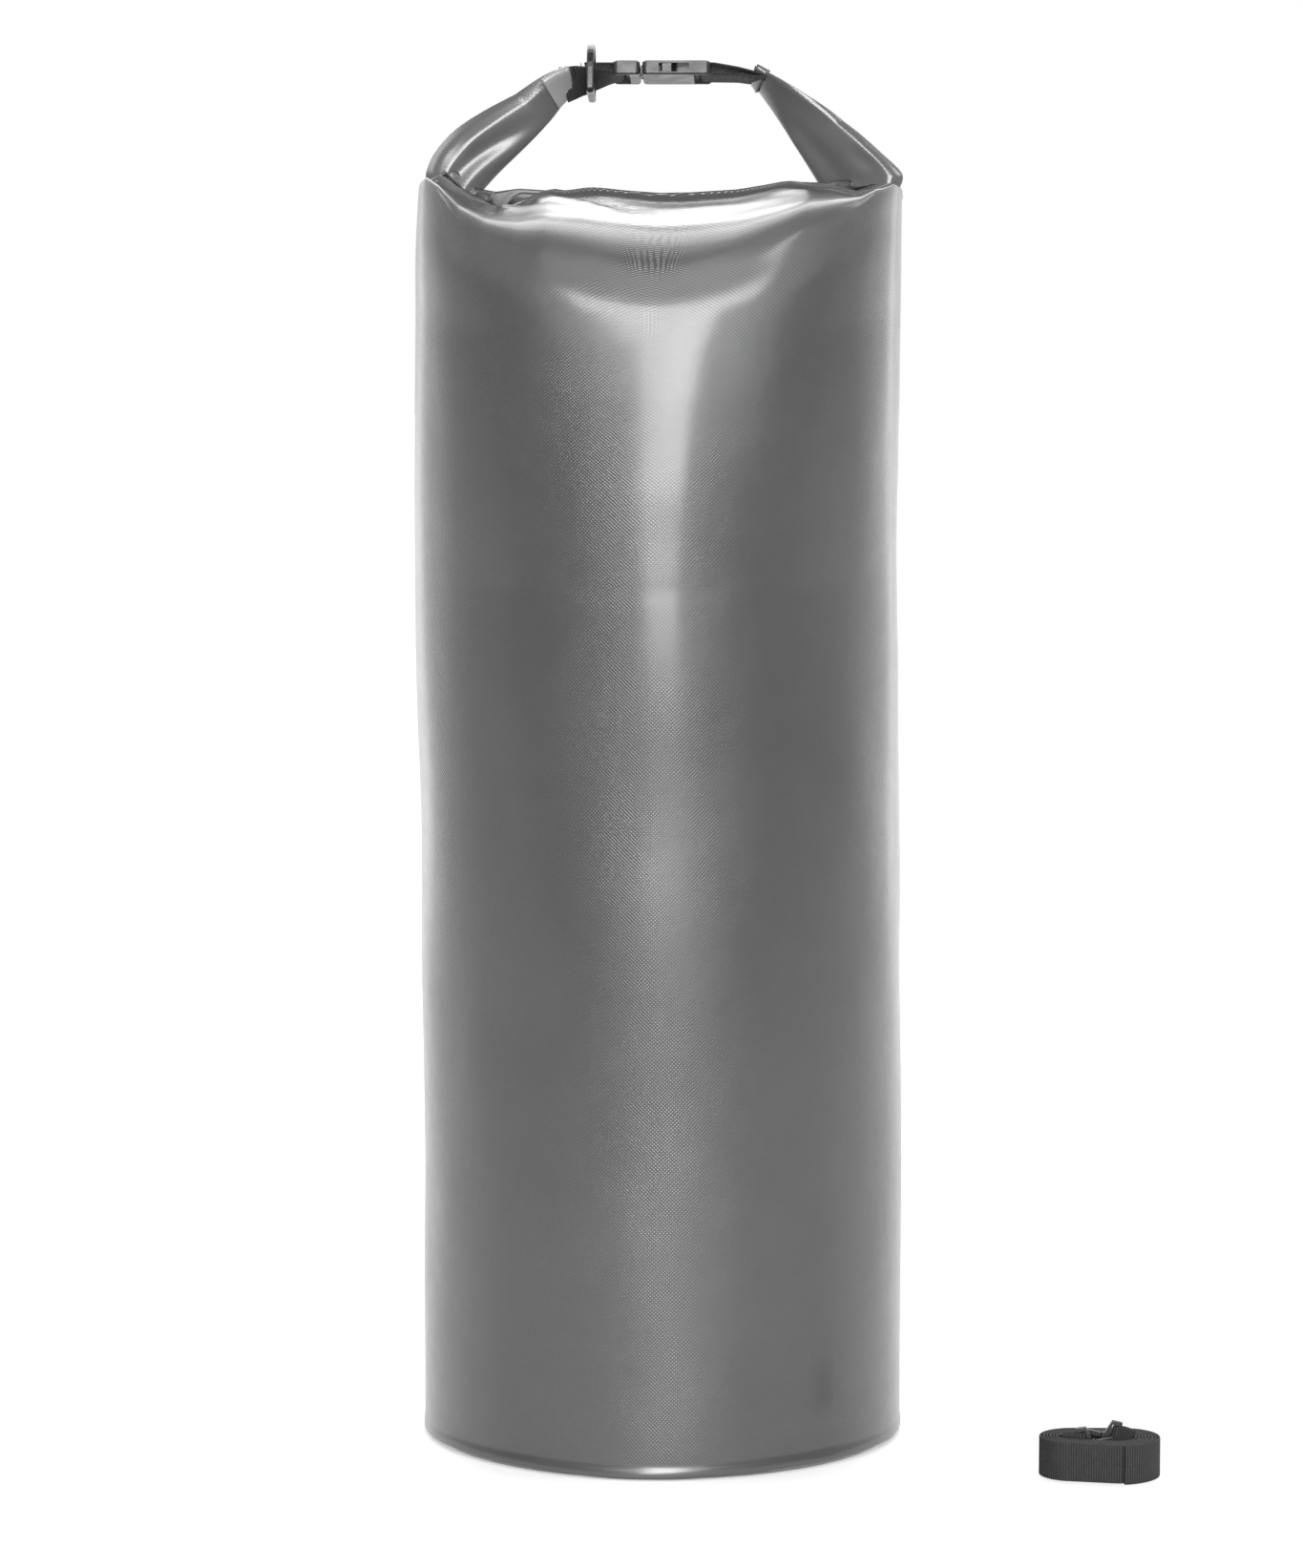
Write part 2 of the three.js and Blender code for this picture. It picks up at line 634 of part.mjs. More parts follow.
function rearWebbing() {
  const bulge = ANCHOR_HOLE + WEB_T;
  const shape = new THREE.Shape();
  shape.moveTo(ANCHOR_FACE, -ANCHOR_HALF);
  shape.lineTo(ANCHOR_FACE + WEB_T, -ANCHOR_HALF);
  shape.lineTo(ANCHOR_FACE + WEB_T, -bulge);
  shape.absarc(ANCHOR_BAR_Y, 0, bulge, -0.75 * Math.PI, 0.75 * Math.PI);
  shape.lineTo(ANCHOR_FACE + WEB_T, bulge);
  shape.lineTo(ANCHOR_FACE + WEB_T, ANCHOR_HALF);
  shape.lineTo(ANCHOR_FACE, ANCHOR_HALF);
  const hole = new THREE.Path();
  hole.absarc(ANCHOR_BAR_Y, 0, ANCHOR_HOLE, 0, 2 * Math.PI);
  shape.holes.push(hole);
  const strip = new THREE.ExtrudeGeometry(shape, {
    depth: WEB_W,
    bevelEnabled: false,
    curveSegments: 10,
  });
  return strip.applyMatrix4(ALONG_X).translate(-WEB_W / 2, 0, ANCHOR_Z);
}

// ---- Shoulder strap: folded in half and coiled, standing on its edge ----

// A point of the coil after some turns, moved in by inset: a half circle at the right, the
// straight back, a half circle at the left and the straight front, each turn.
function coilPoint(turns, inset) {
  const share = turns % 1;
  const radius = COIL_B - WEB_T / 2 - inset;
  const half = share < 0.5 ? 1 : -1;
  const bend = Math.min((share % 0.5) * 3, 1);
  const run = Math.max((share % 0.5) * 6 - 2, 0);
  const angle = Math.PI * (bend - 0.5);
  const x = half * (COIL_STRAIGHT * (1 - 2 * run) + radius * Math.cos(angle));
  const y = half * radius * Math.sin(angle);
  return v3(COIL_X + x, COIL_Y + y, WEB_W / 2);
}

// One strand from the outer fold inwards; it rises over the last third of a turn.
function strand(turns, inset, rise) {
  const count = Math.round(turns * COIL_STEPS);
  return Array.from({ length: count + 1 }, (_, i) => {
    const turned = (turns * i) / count;
    const point = coilPoint(turned, inset + 2 * WEB_PITCH * turned);
    const late = Math.max(1 - (count - i) / (COIL_STEPS / 3), 0);
    point.z += rise * late * late;
    return point;
  });
}

// Where a strand ends: its last point, the way it runs, up along its width, and inwards.
function strandEnd(points) {
  const at = points.at(-1).clone();
  const along = at.clone().sub(points.at(-2)).normalize();
  const up = v3(0, 0, 1).addScaledVector(along, -along.z).normalize();
  return { at, along, up, inward: up.clone().cross(along) };
}

// The fold round a hook's bar, and the end that lies back along the strand.
function hookFold({ at, along, up, inward }) {
  const bar = at.clone().addScaledVector(along, 1).addScaledVector(inward, HOOK_LOOP_R);
  const turn = arc(bar, inward.clone().negate(), along, HOOK_LOOP_R, 0, Math.PI, 8);
  const back = turn.at(-1).clone().addScaledVector(along, -LOOP_BACK);
  return { bar, points: [...turn, back], along, up, inward };
}

const innerStrand = strand(COIL_TURNS_IN, WEB_PITCH, END_RISE_A);
const outerStrand = strand(COIL_TURNS_OUT, 0, END_RISE_B);
const endA = hookFold(strandEnd(innerStrand));
const endB = hookFold(strandEnd(outerStrand));

function strapWebbing() {
  const outside = outerStrand[0];
  const inside = innerStrand[0];
  const across = inside.clone().sub(outside).normalize();
  const away = across.clone().cross(v3(0, 0, 1)).normalize();
  const middle = outside.clone().add(inside).divideScalar(2);
  const fold = arc(middle, across, away, outside.distanceTo(inside) / 2, 0, Math.PI, 4);
  const upright = v3(0, 0, 1);
  const route = [
    ...endA.points.map((point) => ({ point, wide: endA.up })).reverse(),
    ...innerStrand.slice(1).reverse().map((point) => ({ point, wide: upright })),
    ...fold.map((point) => ({ point, wide: upright })),
    ...outerStrand.slice(1).map((point) => ({ point, wide: upright })),
    ...endB.points.map((point) => ({ point, wide: endB.up })),
  ];
  return webbing(
    route.map((stop) => stop.point),
    (_, i) => route[i].wide,
  );
}

// ---- Snap hook: x along it, y through it, z across it, its webbing bar at the origin ----

function hookBody() {
  const half = HOOK_T / 2;
  const neck = HOOK_NECK_W / 2;
  const tip = HOOK_L - neck;
  const shape = new THREE.Shape();
  const base = HOOK_BASE_W / 2;
  shape.moveTo(-HOOK_BAR / 2, -base);
  shape.lineTo(HOOK_BASE_L - 3, -base);
  shape.lineTo(HOOK_BASE_L, -neck);
  shape.lineTo(tip, -neck);
  shape.absarc(tip, 0, neck, -Math.PI / 2, Math.PI / 2);
  shape.lineTo(HOOK_BASE_L, neck);
  shape.lineTo(HOOK_BASE_L - 3, base);
  shape.lineTo(-HOOK_BAR / 2, base);
  const eye = new THREE.Path();
  const leg = neck - HOOK_LEG;
  eye.moveTo(HOOK_BASE_L + 1.4, -leg);
  eye.lineTo(tip, -leg);
  eye.absarc(tip, 0, leg, -Math.PI / 2, Math.PI / 2);
  eye.lineTo(HOOK_BASE_L + 1.4, leg);
  shape.holes.push(eye);
  const body = new THREE.ExtrudeGeometry(shape, {
    depth: HOOK_T,
    bevelEnabled: false,
    curveSegments: 8,
  });
  body.rotateX(Math.PI / 2).translate(0, half, 0);
  const slotHalf = WEB_W / 2 + WEB_GAP;
  const slot = boxBetween(HOOK_BAR / 2, HOOK_BAR / 2 + HOOK_SLOT, -HOOK_T, HOOK_T, -slotHalf, slotHalf);
  const relief = (y0, y1) =>
    boxBetween(-HOOK_BAR, HOOK_BAR / 2 + 0.1, y0, y1, -slotHalf, slotHalf);
  const front = relief(-HOOK_T, -HOOK_BAR / 2);
  const rear = relief(HOOK_BAR / 2, HOOK_T);
  const gap = boxBetween(GATE_X0 - RUN_GAP, GATE_X1 + 0.3, -HOOK_T, HOOK_T, leg - 0.5, neck + 1);
  return cut(body, slot, front, rear, gap);
}

function hookGate() {
  const top = HOOK_NECK_W / 2;
  const half = (HOOK_T - 1) / 2;
  return boxBetween(GATE_X0, GATE_X1, -half, half, top - GATE_T - 0.4, top - 0.4);
}

// ---- Assembly ----

const bag = new THREE.Group();
piece(bag, "bag_tube", bagTube(), FABRIC);
piece(bag, "base_disc", baseDisc(), FABRIC);
piece(bag, "rolled_mouth", rolledMouth(), FABRIC);
piece(bag, "roll_stiffener", rollStiffener(), STRIP);
piece(bag, "rear_patch", rearPatch(), FABRIC);
piece(bag, "rear_webbing", rearWebbing(), WEBBING);

const rearRing = piece(bag, "rear_d_ring", dRing(), PLASTIC);
rearRing.position.set(0, ANCHOR_BAR_Y, ANCHOR_Z);
rearRing.rotation.x = Math.PI;

const loop = new THREE.Group();
loop.position.set(0, HINGE_Y, HINGE_Z);
loop.rotation.x = -LEAN;
bag.add(loop);
piece(loop, "ear_left", ear(-1, LEFT_TIP_H, LEFT_TWIST), FABRIC);
piece(loop, "ear_right", ear(1, RIGHT_TIP_H, RIGHT_TWIST), FABRIC);
piece(loop, "tab_left", endTab(-1, LEFT_TIP_H, LEFT_TWIST), FABRIC_LIGHT);
piece(loop, "tab_right", endTab(1, RIGHT_TIP_H, RIGHT_TWIST), FABRIC_LIGHT);
piece(loop, "webbing_left", leftWebbing(), WEBBING);
piece(loop, "webbing_right", rightWebbing(), WEBBING);
piece(loop, "buckle_male", buckleMale(), PLASTIC);
piece(loop, "buckle_female", buckleFemale(), PLASTIC);
piece(loop, "latch_arm_front", latchArm(-1), PLASTIC);
piece(loop, "latch_arm_rear", latchArm(1), PLASTIC);
const closureRing = piece(loop, "closure_d_ring", dRing(), PLASTIC);
closureRing.position.set(RING_X, 0, RING_BAR_H);
closureRing.rotation.z = Math.PI / 2;

piece(bag, "strap_webbing", strapWebbing(), WEBBING);
for (const [letter, end] of [["a", endA], ["b", endB]]) {
  const hook = new THREE.Group();
  hook.position.copy(end.bar);
  const through = end.up.clone().cross(end.along);
  hook.setRotationFromMatrix(new THREE.Matrix4().makeBasis(end.along, through, end.up));
  bag.add(hook);
  piece(hook, "strap_hook_" + letter, hookBody(), PLASTIC);
  piece(hook, "strap_gate_" + letter, hookGate(), PLASTIC);
}

export default bag;
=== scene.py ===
"""Looks of the rope storage bag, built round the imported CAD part. Lengths in the shapes are millimetres."""

import json
import math

import bpy
import numpy as np
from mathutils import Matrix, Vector, noise

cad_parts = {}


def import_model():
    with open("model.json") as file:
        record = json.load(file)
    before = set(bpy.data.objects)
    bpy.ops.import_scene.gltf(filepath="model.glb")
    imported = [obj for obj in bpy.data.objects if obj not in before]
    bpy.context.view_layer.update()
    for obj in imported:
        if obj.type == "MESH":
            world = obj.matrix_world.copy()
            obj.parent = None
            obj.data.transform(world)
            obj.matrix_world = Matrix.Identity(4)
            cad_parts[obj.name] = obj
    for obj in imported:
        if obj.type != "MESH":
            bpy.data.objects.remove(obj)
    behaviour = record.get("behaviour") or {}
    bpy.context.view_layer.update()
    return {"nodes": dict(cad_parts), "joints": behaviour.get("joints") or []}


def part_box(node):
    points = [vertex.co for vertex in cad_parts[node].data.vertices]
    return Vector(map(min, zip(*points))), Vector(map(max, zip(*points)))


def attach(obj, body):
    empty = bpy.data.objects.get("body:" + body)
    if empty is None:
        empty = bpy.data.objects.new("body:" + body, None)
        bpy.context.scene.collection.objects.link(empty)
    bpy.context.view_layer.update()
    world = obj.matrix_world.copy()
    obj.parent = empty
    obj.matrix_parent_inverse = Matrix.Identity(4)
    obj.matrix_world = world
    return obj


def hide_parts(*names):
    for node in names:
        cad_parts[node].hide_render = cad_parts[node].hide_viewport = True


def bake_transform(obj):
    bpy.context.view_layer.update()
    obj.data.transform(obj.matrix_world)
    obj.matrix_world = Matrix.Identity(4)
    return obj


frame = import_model()
NODES = frame["nodes"]
MM = 0.001

# ---- Places read from the CAD ----


def low(node):
    return np.array(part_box(node)[0]) / MM


def high(node):
    return np.array(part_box(node)[1]) / MM


def joint(name):
    return next(j for j in frame["joints"] if j["name"] == name)


TUBE_R = high("bag_tube")[0]
CREST_Z = high("bag_tube")[2]
CREST_Y = -15  # the closed mouth lies a little in front of the axis
CLOSING_H = 243  # height over which the round tube closes into the crest
ROUND_Z = CREST_Z - CLOSING_H
HINGE = np.array(joint("carry_loop_tilt")["pos_m"]) / MM
LOOP_UP = np.array(joint("latch_front_squeeze")["axis"])
LOOP_BACK = np.array([0, LOOP_UP[2], -LOOP_UP[1]])


def in_loop(x, y, h):
    """A point of the leaning carry loop: x along it, y backwards and h above the tilt axis."""
    return HINGE + np.array([x, 0, 0]) + y * LOOP_BACK + h * LOOP_UP


# ---- Camera ----


def camera():
    data = bpy.data.cameras.new("camera")
    data.sensor_width = 36
    data.lens = 135.8
    data.clip_end = 50
    eye = bpy.data.objects.new("camera", data)
    bpy.context.scene.collection.objects.link(eye)
    eye.location = (0.1227, -3.795, 0.8593)
    eye.rotation_euler = (math.radians(90 - 6.552), 0, math.radians(1.96))
    bpy.context.scene.camera = eye


camera()

# ---- Small maths ----


def unit(v):
    return v / np.linalg.norm(v)


def ramp(x, a, b):
    """0 below a, 1 above b, smooth between."""
    t = np.clip((np.asarray(x, float) - a) / (b - a), 0, 1)
    return t * t * (3 - 2 * t)


def bell(x, middle, width):
    return np.exp(-(((np.asarray(x, float) - middle) / width) ** 2))


def waves(x, y, z, size, seed=0.0):
    """Smooth noise between about -1 and 1 at each point."""
    flat = zip(np.ravel(x), np.ravel(y), np.ravel(z))
    made = [noise.noise(Vector((a / size + seed, b / size, c / size))) for a, b, c in flat]
    return np.reshape(made, np.shape(x))


def smooth(points, steps):
    """A smooth curve through the given points, with the same steps between each two of them."""
    p = np.array(points, float)
    p = np.vstack([2 * p[0] - p[1], p, 2 * p[-1] - p[-2]])
    out = []
    for i in range(1, len(p) - 2):
        for t in np.linspace(0, 1, steps, endpoint=False):
            a = 2 * p[i] + (p[i + 1] - p[i - 1]) * t
            b = (2 * p[i - 1] - 5 * p[i] + 4 * p[i + 1] - p[i + 2]) * t * t
            c = (3 * p[i] - p[i - 1] - 3 * p[i + 1] + p[i + 2]) * t**3
            out.append((a + b + c) / 2)
    return np.array(out + [p[-2]])


def curve(points, count):
    """Points evenly spread along that curve."""
    return resample(smooth(points, 24), count)


def lengths(p):
    return np.concatenate([[0], np.cumsum(np.linalg.norm(np.diff(p, axis=0), axis=1))])


def resample(p, count):
    s = lengths(p)
    at = np.linspace(0, s[-1], count)
    return np.stack([np.interp(at, s, p[:, k]) for k in range(p.shape[1])], axis=1)


# ---- Meshes ----

WEB_W, WEB_T = 25.0, 1.7  # width and thickness of all webbing
RIB = 1.6  # from one rib of the webbing to the next


def skin(name, grid, uv, wrap=True, ends=(False, False)):
    """A mesh over rows of points in millimetres, with a UV map in metres of cloth."""
    rows, cols = grid.shape[:2]
    faces = []
    corners = []
    last = cols if wrap else cols - 1
    for r in range(rows - 1):
        for c in range(last):
            d = (c + 1) % cols
            faces.append((r * cols + c, r * cols + d, (r + 1) * cols + d, (r + 1) * cols + c))
            corners += [(r, c), (r, c + 1), (r + 1, c + 1), (r + 1, c)]
    for row, shut in ((0, ends[0]), (rows - 1, ends[1])):
        if shut:
            loop = [row * cols + c for c in range(cols)]
            faces.append(tuple(reversed(loop)) if row == 0 else tuple(loop))
            order = reversed(range(cols)) if row == 0 else range(cols)
            corners += [(row, c) for c in order]
    mesh = bpy.data.meshes.new(name)
    mesh.from_pydata((grid.reshape(-1, 3) * MM).tolist(), [], faces)
    layer = mesh.uv_layers.new(name="cloth")
    layer.data.foreach_set("uv", np.array([uv[r, c] for r, c in corners], np.float32).ravel())
    mesh.polygons.foreach_set("use_smooth", [True] * len(faces))
    mesh.update()
    made = bpy.data.objects.new(name, mesh)
    bpy.context.scene.collection.objects.link(made)
    return made


def ribbon(name, path, wide, width=WEB_W, thick=WEB_T, rib=RIB):
    """Woven webbing along a path: real ribs across it and rounded selvedges."""
    s = lengths(path)
    count = max(int(s[-1] / rib * 4), 8)
    at = np.linspace(0, s[-1], count)
    mid = np.stack([np.interp(at, s, path[:, k]) for k in range(3)], axis=1)
    across = np.stack([np.interp(at, s, wide[:, k]) for k in range(3)], axis=1)
    along = np.gradient(mid, axis=0)
    along /= np.linalg.norm(along, axis=1)[:, None]
    across -= along * np.sum(across * along, axis=1)[:, None]
    across /= np.linalg.norm(across, axis=1)[:, None]
    normal = np.cross(along, across)
    swell = 0.55 + 0.45 * np.abs(np.sin(math.pi * at / rib))
    a, b = webbing_section(width, thick)
    half = a[None, :] * (0.985 + 0.015 * swell[:, None])
    deep = b[None, :] * swell[:, None]
    grid = mid[:, None] + across[:, None] * half[..., None] + normal[:, None] * deep[..., None]
    u = np.broadcast_to(np.append(lengths(np.stack([a, b], 1)), 2 * width + thick), (count, len(a) + 1))
    uv = np.stack([u * MM, np.broadcast_to(at[:, None] * MM, u.shape)], axis=-1)
    return skin(name, grid, uv, ends=(True, True))


def webbing_section(width, thick):
    w, t = width / 2, thick / 2
    right = [(w - 0.9, -t), (w - 0.3, -t * 0.8), (w, 0), (w - 0.3, t * 0.8), (w - 0.9, t)]
    flat = [(x, t) for x in (w * 0.55, 0.0, -w * 0.55)]
    half = right + flat
    both = half + [(-x, -y) for x, y in half]
    a, b = np.array(both).T
    return a, b


# ---- Materials ----


class Look:
    """A principled material and short ways to add nodes to it."""

    def __init__(self, name, colour, roughness, **sockets):
        self.made = bpy.data.materials.new(name)
        self.made.use_nodes = True
        self.tree = self.made.node_tree
        self.shader = self.tree.nodes["Principled BSDF"]
        self.shader.inputs["Base Color"].default_value = (*colour, 1)
        self.shader.inputs["Roughness"].default_value = roughness
        for socket, value in sockets.items():
            self.shader.inputs[socket.replace("_", " ")].default_value = value

    def add(self, kind, **values):
        node = self.tree.nodes.new("ShaderNode" + kind)
        for key, value in values.items():
            setattr(node, key, value)
        return node

    def put(self, socket, value):
        if isinstance(value, bpy.types.NodeSocket):
            self.tree.links.new(value, socket)
        else:
            socket.default_value = value

    def math(self, operation, a, b=0.0):
        node = self.add("Math", operation=operation)
        self.put(node.inputs[0], a)
        self.put(node.inputs[1], b)
        return node.outputs[0]

    def cloth(self):
        """Metres across and along the cloth."""
        uv = self.add("UVMap", uv_map="cloth")
        parts = self.add("SeparateXYZ")
        self.put(parts.inputs[0], uv.outputs[0])
        return parts.outputs[0], parts.outputs[1]

    def place(self):
        return self.add("TexCoord").outputs["Object"]

    def noise(self, scale, detail=3.0, where=None):
        node = self.add("TexNoise")
        self.put(node.inputs["Vector"], where or self.place())
        self.put(node.inputs["Scale"], scale)
        self.put(node.inputs["Detail"], detail)
        return node.outputs[0]

    def blend(self, share, dark, light):
        node = self.add("Mix", data_type="RGBA")
        self.put(node.inputs["Factor"], share)
        self.put(node.inputs["A"], (*dark, 1))
        self.put(node.inputs["B"], (*light, 1))
        return node.outputs["Result"]

    def spread(self, value, a, b, low_out, high_out):
        node = self.add("MapRange")
        for socket, number in zip(node.inputs[1:5], (a, b, low_out, high_out)):
            self.put(socket, number)
        self.put(node.inputs[0], value)
        return node.outputs[0]

    def bump(self, height, depth, under=None):
        node = self.add("Bump")
        self.put(node.inputs["Height"], height)
        self.put(node.inputs["Distance"], depth)
        if under is not None:
            self.put(node.inputs["Normal"], under)
        return node.outputs[0]

    def finish(self, colour=None, roughness=None, normal=None):
        for socket, value in (("Base Color", colour), ("Roughness", roughness), ("Normal", normal)):
            if value is not None:
                self.put(self.shader.inputs[socket], value)
        return self.made


def grey(value):
    return (value, value, value * 1.01)


def coated_fabric(name, tone, depth=0.00013, coat=0.5, pitch=0.00115, hem=0.0):
    """Glossy coated plain weave; below hem metres of cloth the weave is pressed flat by a weld."""
    look = Look(name, grey(tone), 0.3, Coat_Weight=coat, Coat_Roughness=0.2)
    u, v = look.cloth()
    drift = look.math("MULTIPLY", look.noise(35, 2), 0.0022)
    over = look.math("COSINE", look.math("MULTIPLY", look.math("ADD", u, drift), math.pi / pitch))
    under = look.math("COSINE", look.math("MULTIPLY", look.math("SUBTRACT", v, drift), math.pi / pitch))
    weave = look.math("MULTIPLY", over, under)
    slub = look.spread(look.noise(900, 2), 0.3, 0.7, 0.55, 1.0)
    raised = look.math("MULTIPLY", weave, slub)
    if hem:
        raised = look.math("MULTIPLY", raised, look.spread(v, hem - 0.0008, hem + 0.0008, 0.15, 1.0))
    slow = look.bump(look.noise(16, 1.5), 0.0012)
    normal = look.bump(raised, depth, slow)
    patches = look.spread(look.noise(14, 5), 0.3, 0.7, 0.0, 0.6)
    # Painted shade: the weave's low parts are painted darker and its raised yarns a little lighter; this adds
    # to random patches of tone.
    painted_weave_shade = look.spread(raised, -1, 1, 0.25, -0.05)
    shade = look.math("ADD", patches, painted_weave_shade)
    colour = look.blend(shade, grey(tone * 1.06), grey(tone * 0.84))
    rough = look.spread(look.noise(60, 5), 0.3, 0.7, 0.28, 0.34)
    return look.finish(colour, rough, normal)


def webbing_look(name, tone=0.008):
    look = Look(name, grey(tone), 0.62, Sheen_Weight=0.015, Sheen_Roughness=0.4, Specular_IOR_Level=0.22)
    u, v = look.cloth()
    yarn = look.math("SINE", look.math("MULTIPLY", u, 2 * math.pi / 0.0011))
    rib = look.math("SINE", look.math("MULTIPLY", v, 2 * math.pi / (RIB * MM)))
    weave = look.math("MULTIPLY", yarn, rib)
    fuzz = look.noise(2500, 2)
    height = look.math("ADD", weave, look.math("MULTIPLY", fuzz, 0.8))
    # Painted highlight and shade on the ribs: the colour follows the rib wave, lighter along one half of each
    # rib and darker along the other, with random tone from noise on top.
    shade = look.spread(look.math("ADD", rib, look.noise(300, 4)), -0.8, 1.8, 0, 1)
    colour = look.blend(shade, grey(tone * 0.25), grey(tone * 4.5))
    return look.finish(colour, look.spread(fuzz, 0.2, 0.8, 0.5, 0.75), look.bump(height, 0.00012))


def moulded_plastic(name, tone=0.008, roughness=0.32):
    look = Look(name, grey(tone), roughness, Specular_IOR_Level=0.45)
    grain = look.noise(1800, 3)
    flow = look.noise(90, 4)
    wear = look.spread(look.noise(420, 6), 0.62, 0.72, 0, 0.5)
    colour = look.blend(wear, grey(tone), grey(tone * 3.2))
    rough = look.spread(flow, 0.3, 0.7, roughness * 0.85, roughness * 1.3)
    return look.finish(colour, rough, look.bump(grain, 0.00003, look.bump(flow, 0.0003)))


def thread_look():
    look = Look("thread", grey(0.03), 0.5, Sheen_Weight=0.3)
    twist = look.noise(4000, 2)
    return look.finish(look.blend(twist, grey(0.018), grey(0.05)), None, look.bump(twist, 0.00005))


FABRIC = coated_fabric("bag fabric", 0.043, hem=0.009)
# The roll and the ears are the bag's own cloth, painted lighter than the bag fabric: painted light from the
# top lamps.
ROLL_FABRIC_PAINTED_LIGHTER = coated_fabric("roll fabric painted lighter", 0.075, depth=0.00002, coat=0.3)
PATCH_FABRIC = coated_fabric("patch fabric", 0.03)
# The left tab's cloth is the roll cloth painted far lighter: a painted highlight on the left ear's tip.
LEFT_TAB_PAINTED_LIGHTER = coated_fabric("left tab fabric painted lighter", 0.2, depth=0.00005)
WEB = webbing_look("webbing")
PLASTIC = moulded_plastic("black plastic")
THREAD = thread_look()


def dress(made, material, body=None, replaced=()):
    made.data.materials.clear()
    made.data.materials.append(material)
    if replaced:
        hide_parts(*replaced)
    if body:
        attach(made, body)
    return made


# ---- Bag shell ----

# At each share of the closing height: how far the front and the back wall reach, as shares of the
# tube's radius, and how square the section is (2 is round).
FRONT = [
    (0, 1), (0.25, 0.976), (0.5, 0.945), (0.62, 0.917), (0.72, 0.882), (0.84, 0.79), (0.91, 0.622),
    (1, 0.05),
]
BACK = [(0, 1), (0.42, 0.98), (0.64, 0.9), (0.76, 0.72), (0.83, 0.42), (0.88, 0.12), (0.89, 0.01), (1, 0.01)]
SQUARE = [(0, 2), (0.6, 2.25), (0.8, 2.7), (1, 4)]
FRONT_RIM = [
    (-156, -5), (-152.5, 4), (-147, 9), (-138, 3), (-124, -6), (-107, -9), (-88, -6), (-70, 0), (-46, 1),
    (6, -2), (50, 0), (95, 6), (112, 3), (128, -1), (142, 1), (149, 4), (153, 1), (156, -5),
]  # height of the mouth's front edge against the crest, along x
BACK_RIM = [
    (-156, -4), (-152.5, 5), (-140, 13), (-124, 0), (-110, -2), (-95, 0), (-46, -3), (6, -6), (50, -4),
    (95, 3), (128, 6), (149, 6), (153, 2), (156, -4),
]
COLUMNS = 360
CREST_RISE = 3


def soft(table, share):
    """A table's value at each share, rounded over its corners."""
    x, y = np.array(table, float).T
    spread = np.linspace(-0.05, 0.05, 11)
    weight = bell(spread, 0, 0.03)
    tries = np.array([np.interp(share + d, x, y) for d in spread])
    return np.tensordot(weight / weight.sum(), tries, axes=1)


def shell_levels():
    low_part = np.concatenate([[0, 1.5, 5.2, 6.0], np.arange(10, 400, 9), np.arange(400, 640, 5)])
    return np.concatenate([low_part, np.arange(640, 700, 3), np.arange(700, CREST_Z + 0.1, 1.6)])


def shell_rings(levels):
    share = np.clip((levels - ROUND_Z) / (CREST_Z - ROUND_Z), -1, 1)
    angle = np.linspace(0, 2 * math.pi, COLUMNS, endpoint=False)
    c, s = np.cos(angle)[None, :], np.sin(angle)[None, :]
    power = (2 / soft(SQUARE, share))[:, None]
    x = np.sign(c) * np.abs(c) ** power * TUBE_R
    reach = np.where(s < 0, soft(FRONT, share)[:, None], soft(BACK, share)[:, None]) * TUBE_R
    y = np.sign(s) * np.abs(s) ** power * reach + CREST_Y * np.clip(share, 0, 1)[:, None]
    z = levels[:, None] + np.zeros_like(x)
    return x, y, z, s + np.zeros_like(x)


def mouth_lift(x, front, h):
    """The crest's line along x, and the shoulder that climbs to both corners."""
    front_rim = np.interp(x, *np.array(FRONT_RIM, float).T)
    back_rim = np.interp(x, *np.array(BACK_RIM, float).T)
    rim = np.where(front, front_rim, back_rim)
    top = (rim + CREST_RISE) * ramp(h, 700, CREST_Z)
    shoulder = 27 * np.clip(np.abs(x) / 120, 0, 1.15) ** 1.7
    climb = ramp(h, 610, 768) * (1 - ramp(h, 766, CREST_Z))
    return top + shoulder * climb


def crease(x, y, a, b, width, height):
    """A soft ridge (or a valley, with a negative height) over the segment from a to b seen from above."""
    a, b = np.array(a, float), np.array(b, float)
    run = b - a
    t = np.clip(((x - a[0]) * run[0] + (y - a[1]) * run[1]) / (run @ run), 0, 1)
    away = np.hypot(x - a[0] - t * run[0], y - a[1] - t * run[1])
    return height * np.exp(-((away / width) ** 2)) * (0.35 + 0.65 * np.sin(math.pi * (0.15 + 0.7 * t)))


ROOF_CREASES = [
    ((-78, -22), (-35, -62), 7, 2.6), ((-62, -20), (-18, -52), 6, -2.2), ((-100, -38), (-60, -66), 9, 2.5),
    ((92, -20), (104, -52), 6, -2.6), ((78, -26), (112, -66), 8, 2.2), ((-20, -25), (48, -30), 12, -1.6),
    ((20, -48), (78, -58), 12, 1.6), ((-125, -30), (-84, -36), 5, 3.0), ((-112, -22), (-86, -26), 5, -4.0),
]
DENTS = [
    (118, 22, 30, 9, 1.6), (28, -4, 34, 8, 1.2), (66, 16, 22, 7, 1.0), (-60, 60, 60, 40, 0.8),
    (95, 520, 50, 90, 0.7), (-100, 640, 40, 60, 0.9), (60, 330, 60, 120, 0.6),
]  # x, z, half width, half height and depth of shallow dents in the front


